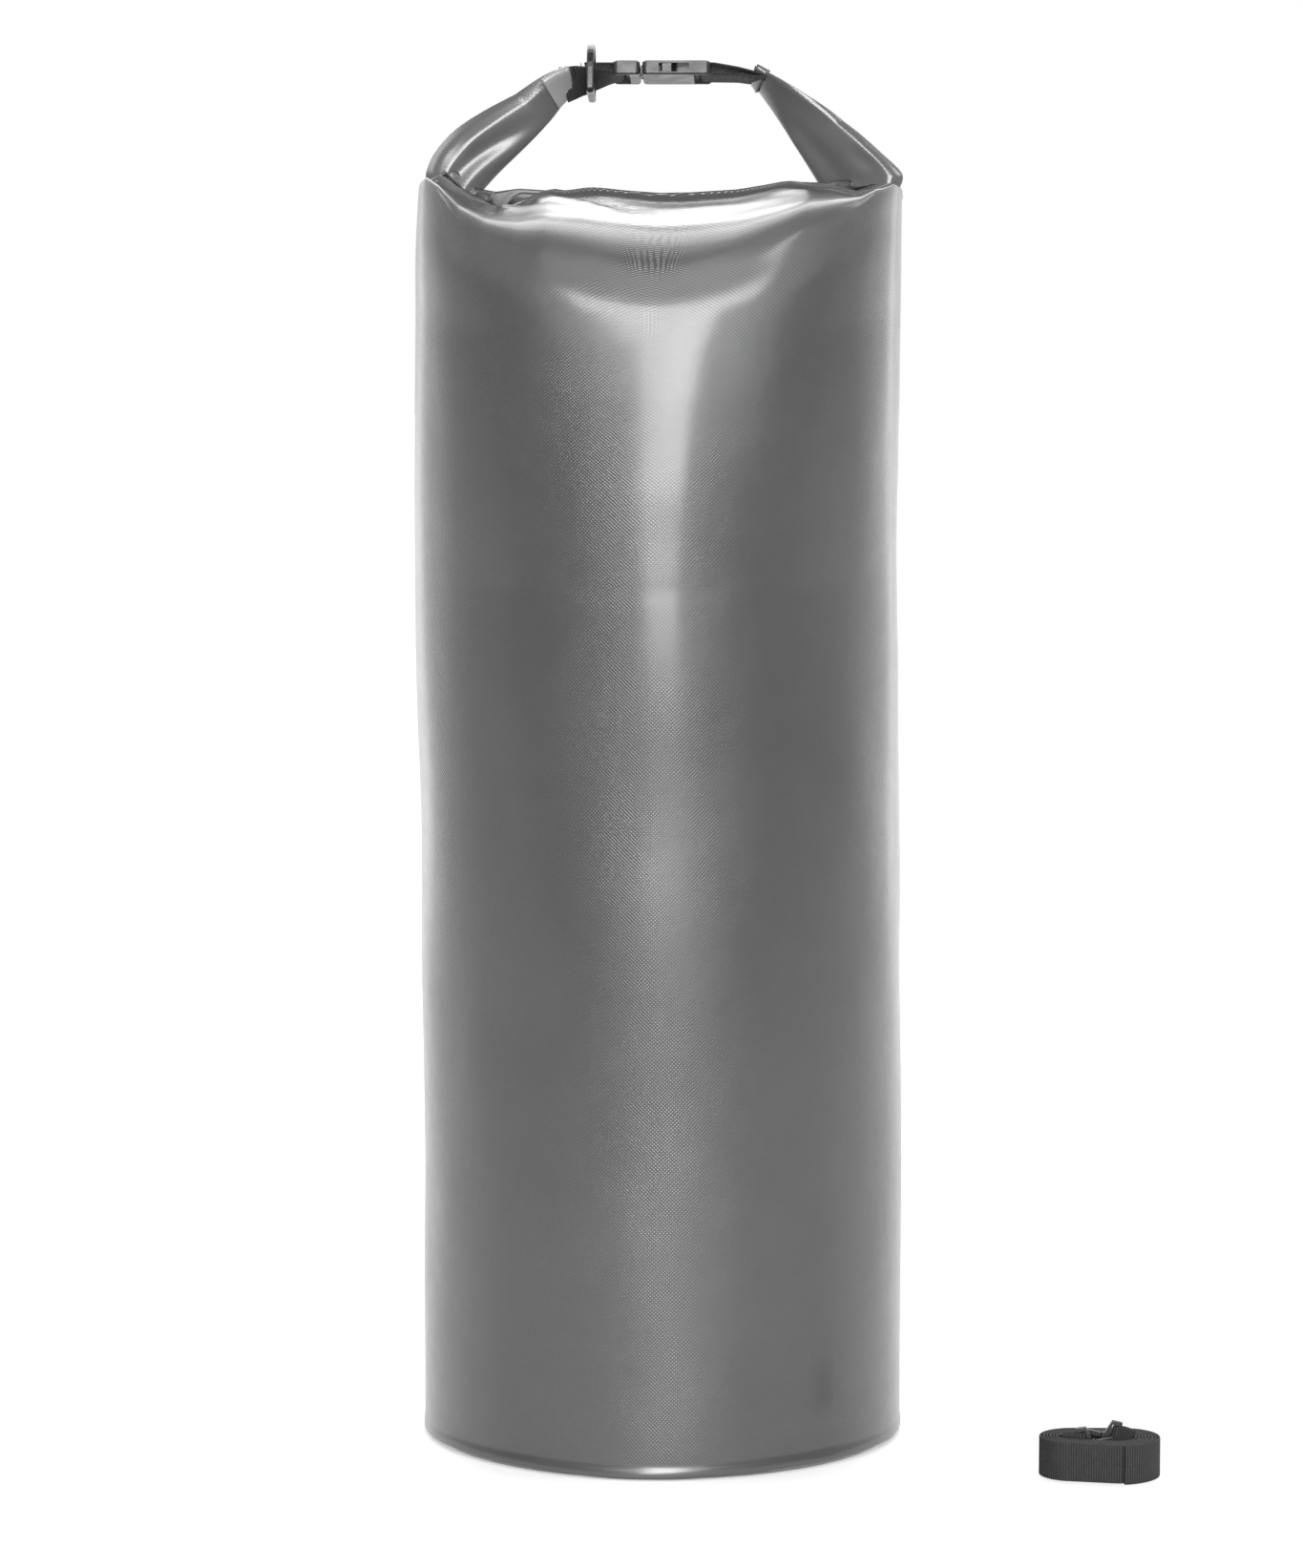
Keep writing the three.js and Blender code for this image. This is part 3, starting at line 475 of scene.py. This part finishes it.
def add_wrinkles(x, y, z, h, front):
    face = np.clip(-y / TUBE_R, 0, 1)
    for at, up, wide, tall, deep in DENTS:
        y = y + face * deep * bell(x, at, wide) * bell(z, up, tall)
    roof = ramp(h, 740, 775) * front
    for a, b, width, height in ROOF_CREASES:
        z = z + roof * crease(x, y, a, b, width, height)
    drift = waves(x, y, z, 120, 3.0) * 1.4 + waves(x, y, z * 0.35, 42, 9.0) * 0.7
    out = 1 + drift * ramp(h, 10, 160) * (1 - ramp(h, 780, 800)) / TUBE_R
    return x * out, CREST_Y * ramp(h, 560, 803) + (y - CREST_Y * ramp(h, 560, 803)) * out, z


def open_corners(x, y, h, front):
    """Near the crest the two walls part at both corners, where the roll's ends rise."""
    near = ramp(h, 783, CREST_Z)
    corner = ramp(np.abs(x), np.where(front, 88, 111), np.where(front, 122, 126))
    taper = np.clip(1 - (np.abs(x) / TUBE_R) ** 6, 0, 1) ** 0.5
    ahead = -(3.5 + 10 * corner) * taper
    behind = (1.2 + 16 * corner) * taper
    target = CREST_Y + np.where(front, ahead, behind)
    return y + near * (target - y)


def bag_shell():
    levels = shell_levels()
    x, y, z, s = shell_rings(levels)
    h = levels[:, None] + np.zeros_like(x)
    front = s < 0
    y = open_corners(x, y, h, front)
    z = z + mouth_lift(x, front, h)
    x = x * (1 - 0.012 * ramp(h, 785, CREST_Z) - 0.028 * (x < 0) * ramp(h, 725, CREST_Z))
    x = x - 4.5 * bell(h, 590, 190) * ramp(h, 150, 400)
    x, y, z = add_wrinkles(x, y, z, h, front)
    under = 4.2 - 3.2 * bell(x, -5, 70) * front + 0.5 * waves(x, y, z, 30, 5.0)
    z = z + under * (1 - ramp(h, 0, 40))
    weld = 1 + 0.5 / TUBE_R * (h < 5.5)
    seam = ramp(h, 20, 40) * (s > 0.5) * (np.abs(x) < 12.5) * (1 - ramp(h, 700, 720))
    x, y = x * weld, y * weld + 0.7 * seam
    inner = inner_rows(x[-1], y[-1], z[-1])
    hem = hem_rows(x[0], y[0], z[0])
    grid = np.concatenate([hem, np.stack([x, y, z], -1), inner])
    return skin("bag_skin", grid, shell_uv(grid, len(hem)))


def shell_uv(grid, hem):
    around = np.linspace(0, 2 * math.pi * TUBE_R * MM, COLUMNS + 1)
    step = np.linalg.norm(np.diff(grid, axis=0), axis=2).mean(axis=1)
    up = np.concatenate([[0], np.cumsum(step)]) * MM
    up = up - up[hem]
    u, v = np.meshgrid(around, up)
    return np.stack([u, v], -1)


def hem_rows(x, y, z):
    """The cloth's cut edge, turned in a little under the tube."""
    inside = [(0.9905, 7.0), (0.9905, 0.5), (0.994, -0.3), (0.998, -0.2)]
    return np.array([np.stack([x * k, y * k, z + up], -1) for k, up in inside])


def inner_rows(x, y, z):
    """The mouth's inner wall: a slit along the crest, and an open pocket at each corner."""
    pocket = ramp(np.abs(x), 92, 124)
    deep = 2.5 + 24 * pocket
    rows = []
    for share, narrow in ((0.0, 0.93), (0.08, 0.84), (0.3, 0.78), (0.6, 0.66), (0.85, 0.42), (1.0, 0.1)):
        inward = 1 - (0.012 + 0.02 * share)
        lip = 0.8 * (share < 0.05)
        rows.append(np.stack([x * inward, CREST_Y + (y - CREST_Y) * narrow, z + lip - deep * share], -1))
    return np.array(rows)


dress(bag_shell(), FABRIC, "bag", ["bag_tube"])

# ---- Rolled mouth ----

ROLL_SINK = 3  # the roll of cloth sits this much lower than the stiff one


def roll_profile(count=120):
    """A two-ply spiral round the flat stiffener, seen along x."""
    turns, pitch, half = 1.75, 2.5, 8.0
    a = np.linspace(0, 2 * math.pi * turns, count)
    r = 2.2 + pitch * a / (2 * math.pi)
    shift = np.interp(np.sin(a), [-0.35, 0.35], [-half, half])
    return np.stack([r * np.cos(a), r * np.sin(a) + shift], 1)


def rolled_mouth():
    centre = (low("rolled_mouth") + high("rolled_mouth")) / 2
    ends = low("rolled_mouth")[0], high("rolled_mouth")[0]
    path = roll_profile()
    normal = np.gradient(path, axis=0)[:, ::-1] * [1, -1]
    normal /= np.linalg.norm(normal, axis=1)[:, None]
    closed = np.vstack([path + normal * 0.7, path[::-1] - normal[::-1] * 0.7])
    closed -= (closed.max(0) + closed.min(0)) / 2
    stations = np.linspace(ends[0], ends[1], 90)
    rows = []
    for at in stations:
        swell = 1 + 0.04 * noise.noise(Vector((at / 35, 0, 0)))
        y = centre[1] + closed[:, 0] * swell
        z = centre[2] - ROLL_SINK + closed[:, 1]
        rows.append(np.column_stack([np.full(len(closed), at), y, z]))
    around = lengths(np.vstack([closed, closed[:1]])) * MM
    u, v = np.meshgrid(around, stations * MM)
    return skin("roll_skin", np.array(rows), np.stack([v, u], -1), ends=(True, True))


dress(rolled_mouth(), ROLL_FABRIC_PAINTED_LIGHTER, "bag", ["rolled_mouth"])

# ---- Ears: the flattened roll ends ----

EARS = {
    "left": {
        "side": -1, "widths": (34, 34, 28, 24.5),
        "outer": [
            (138, -20), (143, -7), (147, 4), (146, 12), (140.5, 23), (129, 36), (112, 48), (91, 60),
            (72, 70.6), (59, 74.6),
        ],
        "inner": [
            (126, -20), (125, -14), (119, -7), (110, 4), (101, 14), (83, 32), (72, 44), (64, 55),
            (56.5, 63.2),
        ],
    },
    "right": {
        "side": 1, "widths": (52, 42, 31, 27),
        "outer": [
            (140, -20), (145, -7), (150, 3), (148, 10), (135, 23), (122, 35), (105, 48), (84, 61),
            (70, 69), (58.5, 75),
        ],
        "inner": [(106, -20), (104, -12), (100, -2), (97, 4), (86, 23), (73, 43), (63, 58), (56, 69)],
    },
}  # edges as (x, h) in the loop's plane; widths are those of the cloth from foot to tip
EAR_TIP_X = 59
EAR_FOOT = 0.17  # share of an ear's length that lies in the roll and keeps the foot's shape
LEAST_LEAN = math.radians(24)  # the band is never quite flat in the loop's plane


def ear_rows(side, outer, inner, widths, count=90):
    """For each row along an ear: its share, middle, direction of its width and way back, and the width."""
    a, b = curve(outer, count) * [side, 1], curve(inner, count) * [side, 1]
    rows = []
    for i in range(count):
        share = max(i / (count - 1) - EAR_FOOT, 0) / (1 - EAR_FOOT)
        flat = a[i] - b[i]
        extent = np.linalg.norm(flat)
        width = max(np.interp(share, [0, 0.3, 0.7, 1], widths), extent)
        lean = max(math.acos(min(extent / width, 1)), LEAST_LEAN)
        width = extent / math.cos(lean)
        level = unit(flat[0] * np.array([1.0, 0, 0]) + flat[1] * LOOP_UP)
        wide = level * math.cos(lean) - LOOP_BACK * math.sin(lean)
        back = LOOP_BACK * math.cos(lean) + level * math.sin(lean)
        middle = in_loop((a[i][0] + b[i][0]) / 2, 0, (a[i][1] + b[i][1]) / 2)
        rows.append((share, middle, wide, back, width))
    return rows


EAR_FACE = {
    -1: [
        (-1, 4), (-0.85, 1.6), (-0.6, 0), (-0.3, -0.9), (0, -1.2), (0.3, -1.2), (0.46, -0.6),
        (0.62, 1.8), (0.8, 5), (0.93, 8.4), (1, 11),
    ],
    1: [
        (-1, 8), (-0.8, 4.2), (-0.5, 0.9), (-0.2, -0.8), (0.1, -1.2), (0.5, -1.2), (0.76, -0.7),
        (0.88, 1), (0.96, 3.4), (1, 6),
    ],
}  # how far back the front face lies across each ear, from its inner to its outer edge


def ear_section(width, side, share):
    """Across an ear: a (outwards) and b (backwards), a layered band that turns back at both edges."""
    across, back = np.array(EAR_FACE[side], float).T
    back = back * (1 - 0.8 * share) * (width / 34) ** 0.5
    front = np.stack([across * width / 2, back], 1)
    slope = np.gradient(front, axis=0)
    normal = np.stack([-slope[:, 1], slope[:, 0]], 1)
    normal /= np.linalg.norm(normal, axis=1)[:, None]
    thick = 3.4 - 1.2 * np.abs(across) ** 3
    behind = front + normal * thick[:, None]
    closed = np.vstack([front, behind[::-1], front[:1]])
    return smooth(closed, 4)[:-1]


def ear_skin(name, side, widths, outer, inner):
    grid = []
    for share, middle, wide, back, width in ear_rows(side, outer, inner, widths):
        section = ear_folds(ear_section(width, side, share), share, width, side)
        grid.append(middle + section[:, :1] * wide + section[:, 1:] * back)
    grid = np.array(grid)
    around = lengths(np.vstack([ear_section(30, side, 0.3), ear_section(30, side, 0.3)[:1]])) * MM
    along = lengths(grid[:, 0]) * MM
    u, v = np.meshgrid(around, along)
    flip = 1 if side > 0 else -1
    return skin(name, grid[:, ::flip], np.stack([u, v], -1), ends=(True, True))


def ear_folds(section, share, width, side):
    """Soft hollows in the front face near the foot."""
    a, b = section.T
    across = a / width + 0.5
    face = (np.arange(len(a)) < len(a) * 0.5) * 1.0
    valley = 0.62 - 0.5 * share if side < 0 else 0.34 - 0.1 * share
    fade = (1 - ramp(share, 0.25, 0.75))
    b = b + face * 2.6 * fade * bell(across, valley, 0.16)
    b = b - face * 1.6 * fade * bell(across, valley - 0.3, 0.16)
    b = b + face * 1.2 * bell(share, 0.16, 0.1) * bell(across, 0.75, 0.12)
    return np.stack([a, b], 1)


for word, facts in EARS.items():
    ear = ear_skin(f"ear_{word}_skin", **facts)
    dress(ear, ROLL_FABRIC_PAINTED_LIGHTER, None, [f"ear_{word}"])
    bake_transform(ear)

# ---- End tabs ----


def tab_skin(name, side, widths, outer, inner, reach):
    """A welded sleeve over the last rows of an ear, with a rolled rim at its end."""
    rows = ear_rows(side, outer, inner, widths, 180)[-reach:]
    angle = np.linspace(0, 2 * math.pi, 64, endpoint=False)
    grid = []
    for i, (_, middle, wide, back, _) in enumerate(rows[::2]):
        share = 2 * i / (reach - 1)
        w = widths[-1] / 2 + 0.3 * ramp(share, 0.75, 0.9)
        t = 2.9 - 0.8 * share + 0.5 * bell(share, 0.86, 0.06)
        c = np.sign(np.cos(angle)) * np.abs(np.cos(angle)) ** 0.3 * w
        s = np.sign(np.sin(angle)) * np.abs(np.sin(angle)) ** 0.7 * t
        grid.append(middle + c[:, None] * wide + (s[:, None] + 1.6) * back)
    u, v = np.meshgrid(np.linspace(0, 0.066, 65), np.linspace(0, reach * 0.0006, len(grid)))
    grid = np.array(grid)[:, :: 1 if side > 0 else -1]
    return skin(name, grid, np.stack([u, v], -1), ends=(False, False))


for word, facts in EARS.items():
    tab = tab_skin(f"tab_{word}_skin", **facts, reach=26 if word == "left" else 12)
    solid = tab.modifiers.new("cloth", "SOLIDIFY")
    solid.thickness = 0.9 * MM
    solid.offset = 0
    # Only the left tab gets the cloth painted far lighter, a painted highlight; the right one keeps the roll
    # cloth.
    look = LEFT_TAB_PAINTED_LIGHTER if word == "left" else ROLL_FABRIC_PAINTED_LIGHTER
    dress(tab, look, "carry_loop", [f"tab_{word}"])

# ---- Closure webbing ----

BAR_LEFT = low("buckle_male")[0] + 3.6
BAR_RIGHT = high("buckle_female")[0] - 3.6
BUCKLE_H = 74.5
LOOP_R = 3.25


def turned(centre, radius, start, end, count=24):
    """Points round a bar that lies along the loop's depth: angles in degrees, 0 along x, 90 up."""
    angles = np.radians(np.linspace(start, end, count))
    return [in_loop(centre + radius * math.cos(a), 0, BUCKLE_H + radius * math.sin(a)) for a in angles]


def spread_turn(count, share, start):
    """Directions of the webbing's width: turned at the ear, level at the buckle."""
    t = np.clip(np.linspace(0, 1, count) / share, 0, 1)[:, None]
    a = np.radians(start + (90 - start) * t)
    return LOOP_UP * np.cos(a) - LOOP_BACK * np.sin(a)


def left_webbing():
    ring_x = (low("closure_d_ring")[0] + high("closure_d_ring")[0]) / 2
    first = [
        in_loop(-EAR_TIP_X - 5, 1, 66.5),
        in_loop(-EAR_TIP_X + 4, 0.5, 68.8),
        in_loop(ring_x, 0, BUCKLE_H - LOOP_R - 1.2),
    ]
    bottom = [in_loop(BAR_LEFT - 8, 0, BUCKLE_H - LOOP_R)]
    top = [in_loop(BAR_LEFT - 8, 0, BUCKLE_H + LOOP_R), in_loop(ring_x - 4, 0, BUCKLE_H + LOOP_R)]
    path = resample(np.array(first + bottom + turned(BAR_LEFT, LOOP_R, -90, 90) + top), 160)
    return ribbon("webbing_left_skin", path, spread_turn(160, 0.5, 34))


def right_webbing():
    tip = EAR_TIP_X + 6
    upper = [in_loop(tip, 0, 70.6), in_loop(tip - 17, 0, 75.0), in_loop(BAR_RIGHT + 6, 0, BUCKLE_H + LOOP_R)]
    lower = [in_loop(BAR_RIGHT + 6, 0, BUCKLE_H - LOOP_R), in_loop(tip - 17, 0, 71.0), in_loop(tip, 0, 68.6)]
    path = resample(np.array(upper + turned(BAR_RIGHT, LOOP_R, 90, 270) + lower), 160)
    return ribbon("webbing_right_skin", path, np.tile(-LOOP_BACK, (160, 1)))


dress(left_webbing(), WEB, "carry_loop", ["webbing_left"])
right = dress(right_webbing(), WEB, None, ["webbing_right"])
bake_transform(right)

# ---- Shoulder strap ----

COIL_A, COIL_B = 40.0, 24.5  # outer half length and half width
COIL_AWAY = 84  # from the bag's side to the coil
COIL_AT = np.array([TUBE_R + COIL_AWAY + COIL_A, low("strap_webbing")[1] + COIL_B, WEB_W / 2])
TURNS = {"a": 3.352, "b": 3.852}  # of the strand to each hook: a is the inner one, b the outer
PLY = 2.1  # room for one strand; each turn holds two
HOOK_BEND, HOOK_END = 2.85, 11  # the bend round a hook's bar, and the end that is sewn back
FOLD_X, FOLD_REACH, FOLD_DEPTH = 12, 30, 6.0  # the soft corner in the strap's front


def coil_point(turned_by, inset):
    share = turned_by % 1
    straight = COIL_A - COIL_B
    radius = COIL_B - WEB_T / 2 - inset
    half = 1 if share < 0.5 else -1
    bend = min((share % 0.5) * 3, 1)
    run = max((share % 0.5) * 6 - 2, 0)
    angle = math.pi * (bend - 0.5)
    x = half * (straight + radius * math.cos(angle) - 2 * straight * run)
    y = half * radius * math.sin(angle)
    if y < 0:
        y -= FOLD_DEPTH * max(1 - abs(x - FOLD_X) / FOLD_REACH, 0)
    return COIL_AT + np.array([x, y, 0])


def strand(turns, inset, rise):
    count = round(turns * 72)
    points = []
    for i in range(count + 1):
        by = turns * i / count
        point = coil_point(by, inset + 2 * PLY * by)
        point[2] += rise * max(1 - (count - i) / 24, 0) ** 2
        points.append(point)
    return np.array(points)


def hook_fold(points):
    at = points[-1]
    along = unit(at - points[-2])
    up = unit(np.array([0, 0, 1.0]) - along * along[2])
    inward = np.cross(up, along)
    bar = at + along + inward * HOOK_BEND
    angles = np.linspace(0, math.pi, 16)
    arc = [bar - inward * HOOK_BEND * math.cos(a) + along * HOOK_BEND * math.sin(a) for a in angles]
    return np.array(arc + [arc[-1] - along * HOOK_END]), up


def strap():
    outer, inner = strand(TURNS["b"], 0, 3), strand(TURNS["a"], PLY, 5)
    end_a, up_a = hook_fold(inner)
    end_b, up_b = hook_fold(outer)
    middle = (outer[0] + inner[0]) / 2
    across = unit(inner[0] - outer[0])
    away = unit(np.cross(across, [0, 0, 1.0]))
    reach = np.linalg.norm(outer[0] - inner[0]) / 2
    fold = [middle + reach * (across * math.cos(a) + away * math.sin(a)) for a in np.linspace(0.3, 2.8, 8)]
    upright = np.array([0, 0, 1.0])
    parts = [
        (end_a[::-1], up_a),
        (inner[::-1], upright),
        (np.array(fold), upright),
        (outer[1:], upright),
        (end_b, up_b),
    ]
    path = np.vstack([p for p, _ in parts])
    wide = np.vstack([np.tile(w, (len(p), 1)) for p, w in parts])
    return ribbon("strap_skin", path, wide), lengths(path)[-1]


strap_skin, strap_length = strap()
dress(strap_skin, WEB, "shoulder_strap", ["strap_webbing"])

# ---- Rear anchor ----

PATCH_HALF_W, PATCH_HALF_H, PATCH_CORNER = 37, 50, 10


def pulled_in(off, straight, scale):
    """Offsets whose part beyond the straight edge is scaled towards it."""
    beyond = np.maximum(np.abs(off) - straight, 0)
    return np.sign(off) * (np.minimum(np.abs(off), straight) + beyond * scale)


def rear_patch():
    """A patch with round corners that follows the tube."""
    lo, hi = low("rear_patch"), high("rear_patch")
    x = np.linspace(-PATCH_HALF_W, PATCH_HALF_W, 60)
    z = np.linspace(lo[2], hi[2], 80)
    gx, gz = np.meshgrid(x, z - z.mean())
    wide, tall = PATCH_HALF_W - PATCH_CORNER, PATCH_HALF_H - PATCH_CORNER
    corner = np.hypot(np.maximum(np.abs(gx) - wide, 0), np.maximum(np.abs(gz) - tall, 0))
    scale = np.where(corner > PATCH_CORNER, PATCH_CORNER / np.maximum(corner, 1e-6), 1)
    gx = pulled_in(gx, wide, scale)
    gz = pulled_in(gz, tall, scale)
    edge = np.maximum(np.abs(gx) / PATCH_HALF_W, np.abs(gz) / PATCH_HALF_H)
    gz = gz + z.mean()
    on_tube = np.sqrt((TUBE_R + 1.3) ** 2 - gx**2)
    y = on_tube + 0.5 * (1 - ramp(edge, 0.9, 1.0)) + 0.15 * waves(gx, gx, gz, 14, 2.0)
    uv = np.stack([gx * MM, gz * MM], -1)
    made = skin("rear_patch_skin", np.stack([gx, y, gz], -1), uv, wrap=False)
    solid = made.modifiers.new("cloth", "SOLIDIFY")
    solid.thickness = 1.0 * MM
    return made


def rear_webbing():
    lo, hi = low("rear_webbing"), high("rear_webbing")
    bar = np.array(joint("rear_ring_swing")["pos_m"]) / MM
    face = lo[1] + 0.9
    radius = hi[1] - bar[1] - 0.85
    up = [(face, lo[2]), (face, bar[2] - radius - 9), (face + 1.5, bar[2] - radius - 2)]
    angles = np.radians(np.linspace(-70, 70, 20))
    over = [(bar[1] + radius * math.cos(a), bar[2] + radius * math.sin(a)) for a in angles]
    down = [(face + 1.5, bar[2] + radius + 2), (face, bar[2] + radius + 9), (face, hi[2])]
    path = curve(up + over + down, 160)
    path = np.column_stack([np.zeros(160), path])
    return ribbon("rear_webbing_skin", path, np.tile([1.0, 0, 0], (160, 1)))


dress(rear_patch(), PATCH_FABRIC, "bag", ["rear_patch"])
dress(rear_webbing(), WEB, "bag", ["rear_webbing"])

# ---- Stitches ----


def stitch_line(a, b, normal, pitch=3.4):
    """Stitches of thread between two points: the middle, the direction and the normal of each."""
    a, b = np.array(a, float), np.array(b, float)
    count = max(int(np.linalg.norm(b - a) / pitch), 1)
    way = unit(b - a)
    return [(a + (b - a) * (i + 0.5) / count, way, unit(np.array(normal, float))) for i in range(count)]


def stitches(name, list_of_stitches, body, length=2.5, thick=0.42):
    verts, faces = [], []
    around = np.linspace(0, 2 * math.pi, 7)[:-1]
    for middle, way, normal in list_of_stitches:
        side = np.cross(way, normal)
        start = len(verts)
        for t in (-1, -0.55, 0, 0.55, 1):
            r = thick * math.sqrt(max(1 - (t * 0.92) ** 2, 0.05))
            core = middle + way * t * length / 2 - normal * 0.25 * t * t
            verts += [core + r * (side * math.cos(k) + normal * math.sin(k)) for k in around]
        for ring in range(4):
            for k in range(6):
                a, b = start + ring * 6 + k, start + ring * 6 + (k + 1) % 6
                faces.append((a, a + 6, b + 6, b))
        faces.append(tuple(start + k for k in range(6)))
        faces.append(tuple(start + 24 + k for k in reversed(range(6))))
    mesh = bpy.data.meshes.new(name)
    mesh.from_pydata((np.array(verts) * MM).tolist(), [], faces)
    mesh.polygons.foreach_set("use_smooth", [True] * len(faces))
    made = bpy.data.objects.new(name, mesh)
    bpy.context.scene.collection.objects.link(made)
    return dress(made, THREAD, body)


def rear_stitches():
    lo, hi = low("rear_webbing"), high("rear_webbing")
    y = lo[1] + 1.85
    rows = []
    for z0, z1 in ((lo[2] + 3, lo[2] + 19), (hi[2] - 19, hi[2] - 3)):
        corners = [(-9.5, y, z0), (9.5, y, z0), (9.5, y, z1), (-9.5, y, z1), (-9.5, y, z0), (9.5, y, z1)]
        for a, b in zip(corners, corners[1:]):
            rows += stitch_line(a, b, (0, 1, 0))
        rows += stitch_line(corners[1], corners[3], (0, 1, 0))
    return stitches("rear_stitches", rows, "bag")


def loop_stitches():
    rows = []
    for x in (-52.5, -41):
        top = BUCKLE_H + LOOP_R + 0.95
        rows += stitch_line(in_loop(x, -9.5, top), in_loop(x, 9.5, top), LOOP_UP)
    return stitches("loop_stitches", rows, "carry_loop")


rear_stitches()
loop_stitches()

# ---- Hard pieces keep the CAD's shape ----


def soften(node, width, material):
    made = NODES[node]
    made.data.polygons.foreach_set("use_smooth", [True] * len(made.data.polygons))
    bevel = made.modifiers.new("edges", "BEVEL")
    bevel.width = width * MM
    bevel.segments = 3
    bevel.limit_method = "ANGLE"
    bevel.angle_limit = math.radians(32)
    bevel.harden_normals = True
    made.data.materials.clear()
    made.data.materials.append(material)


for name in ("buckle_male", "buckle_female"):
    soften(name, 0.5, PLASTIC)
for name in ("latch_arm_front", "latch_arm_rear", "strap_gate_a", "strap_gate_b"):
    soften(name, 0.35, PLASTIC)
for name in ("closure_d_ring", "rear_d_ring", "strap_hook_a", "strap_hook_b"):
    soften(name, 0.45, PLASTIC)
soften("base_disc", 0.4, coated_fabric("base fabric", 0.13))
soften("roll_stiffener", 0.3, moulded_plastic("stiffener", 0.3, 0.5))

# ---- Studio ----


def floor():
    bpy.ops.mesh.primitive_plane_add(size=14, location=(0, 5.7, 0))
    made = bpy.context.object
    made.name = "floor"
    look = Look("floor", grey(0.45), 0.7)
    look.put(look.shader.inputs["Emission Color"], (1, 1, 1, 1))
    parts = look.add("SeparateXYZ")
    look.put(parts.inputs[0], look.place())
    look.put(look.shader.inputs["Emission Strength"], look.spread(parts.outputs[1], -5.2, -2.6, 0.42, 1.2))
    made.data.materials.append(look.finish(look.blend(look.noise(3, 2), grey(0.43), grey(0.47))))


def softbox(name, at, target, size, power):
    data = bpy.data.lights.new(name, "AREA")
    data.shape = "RECTANGLE"
    data.size, data.size_y = size
    data.energy = power
    made = bpy.data.objects.new(name, data)
    bpy.context.scene.collection.objects.link(made)
    made.location = at
    made.rotation_euler = (Vector(target) - Vector(at)).to_track_quat("-Z", "Y").to_euler()


def world():
    made = bpy.data.worlds.new("studio")
    bpy.context.scene.world = made
    made.use_nodes = True
    tree = made.node_tree
    where = tree.nodes.new("ShaderNodeTexCoord")
    parts = tree.nodes.new("ShaderNodeSeparateXYZ")
    tree.links.new(where.outputs["Generated"], parts.inputs[0])
    shade = tree.nodes.new("ShaderNodeMapRange")
    tree.links.new(parts.outputs[1], shade.inputs[0])
    for socket, number in zip(shade.inputs[1:5], (-0.2, 0.6, 0.1, 1.0)):
        socket.default_value = number
    tree.links.new(shade.outputs[0], tree.nodes["Background"].inputs["Strength"])
    tree.nodes["Background"].inputs["Color"].default_value = (1, 1, 1, 1)


floor()
softbox("strip", (0.25, -4.1, 1.0), (0, 0, 0.5), (1.2, 1.5), 125)
softbox("front", (0.25, -3.3, 2.05), (0, -0.1, 0.7), (2.8, 1.0), 150)
softbox("top", (0.0, 1.5, 2.4), (0, -0.05, 0.8), (2.4, 2.2), 62)
softbox("upper left", (-1.5, -0.2, 1.9), (-0.1, 0, 0.85), (0.8, 1.0), 18)
softbox("upper right", (1.5, -0.2, 1.9), (0.1, 0, 0.85), (0.6, 1.0), 16)
softbox("left", (-1.4, 2.0, 0.9), (-0.15, 0, 0.6), (0.6, 1.9), 4)
softbox("right", (1.4, 2.0, 0.9), (0.15, 0, 0.6), (0.5, 1.9), 4)
world()
bpy.context.scene.view_settings.view_transform = "Standard"
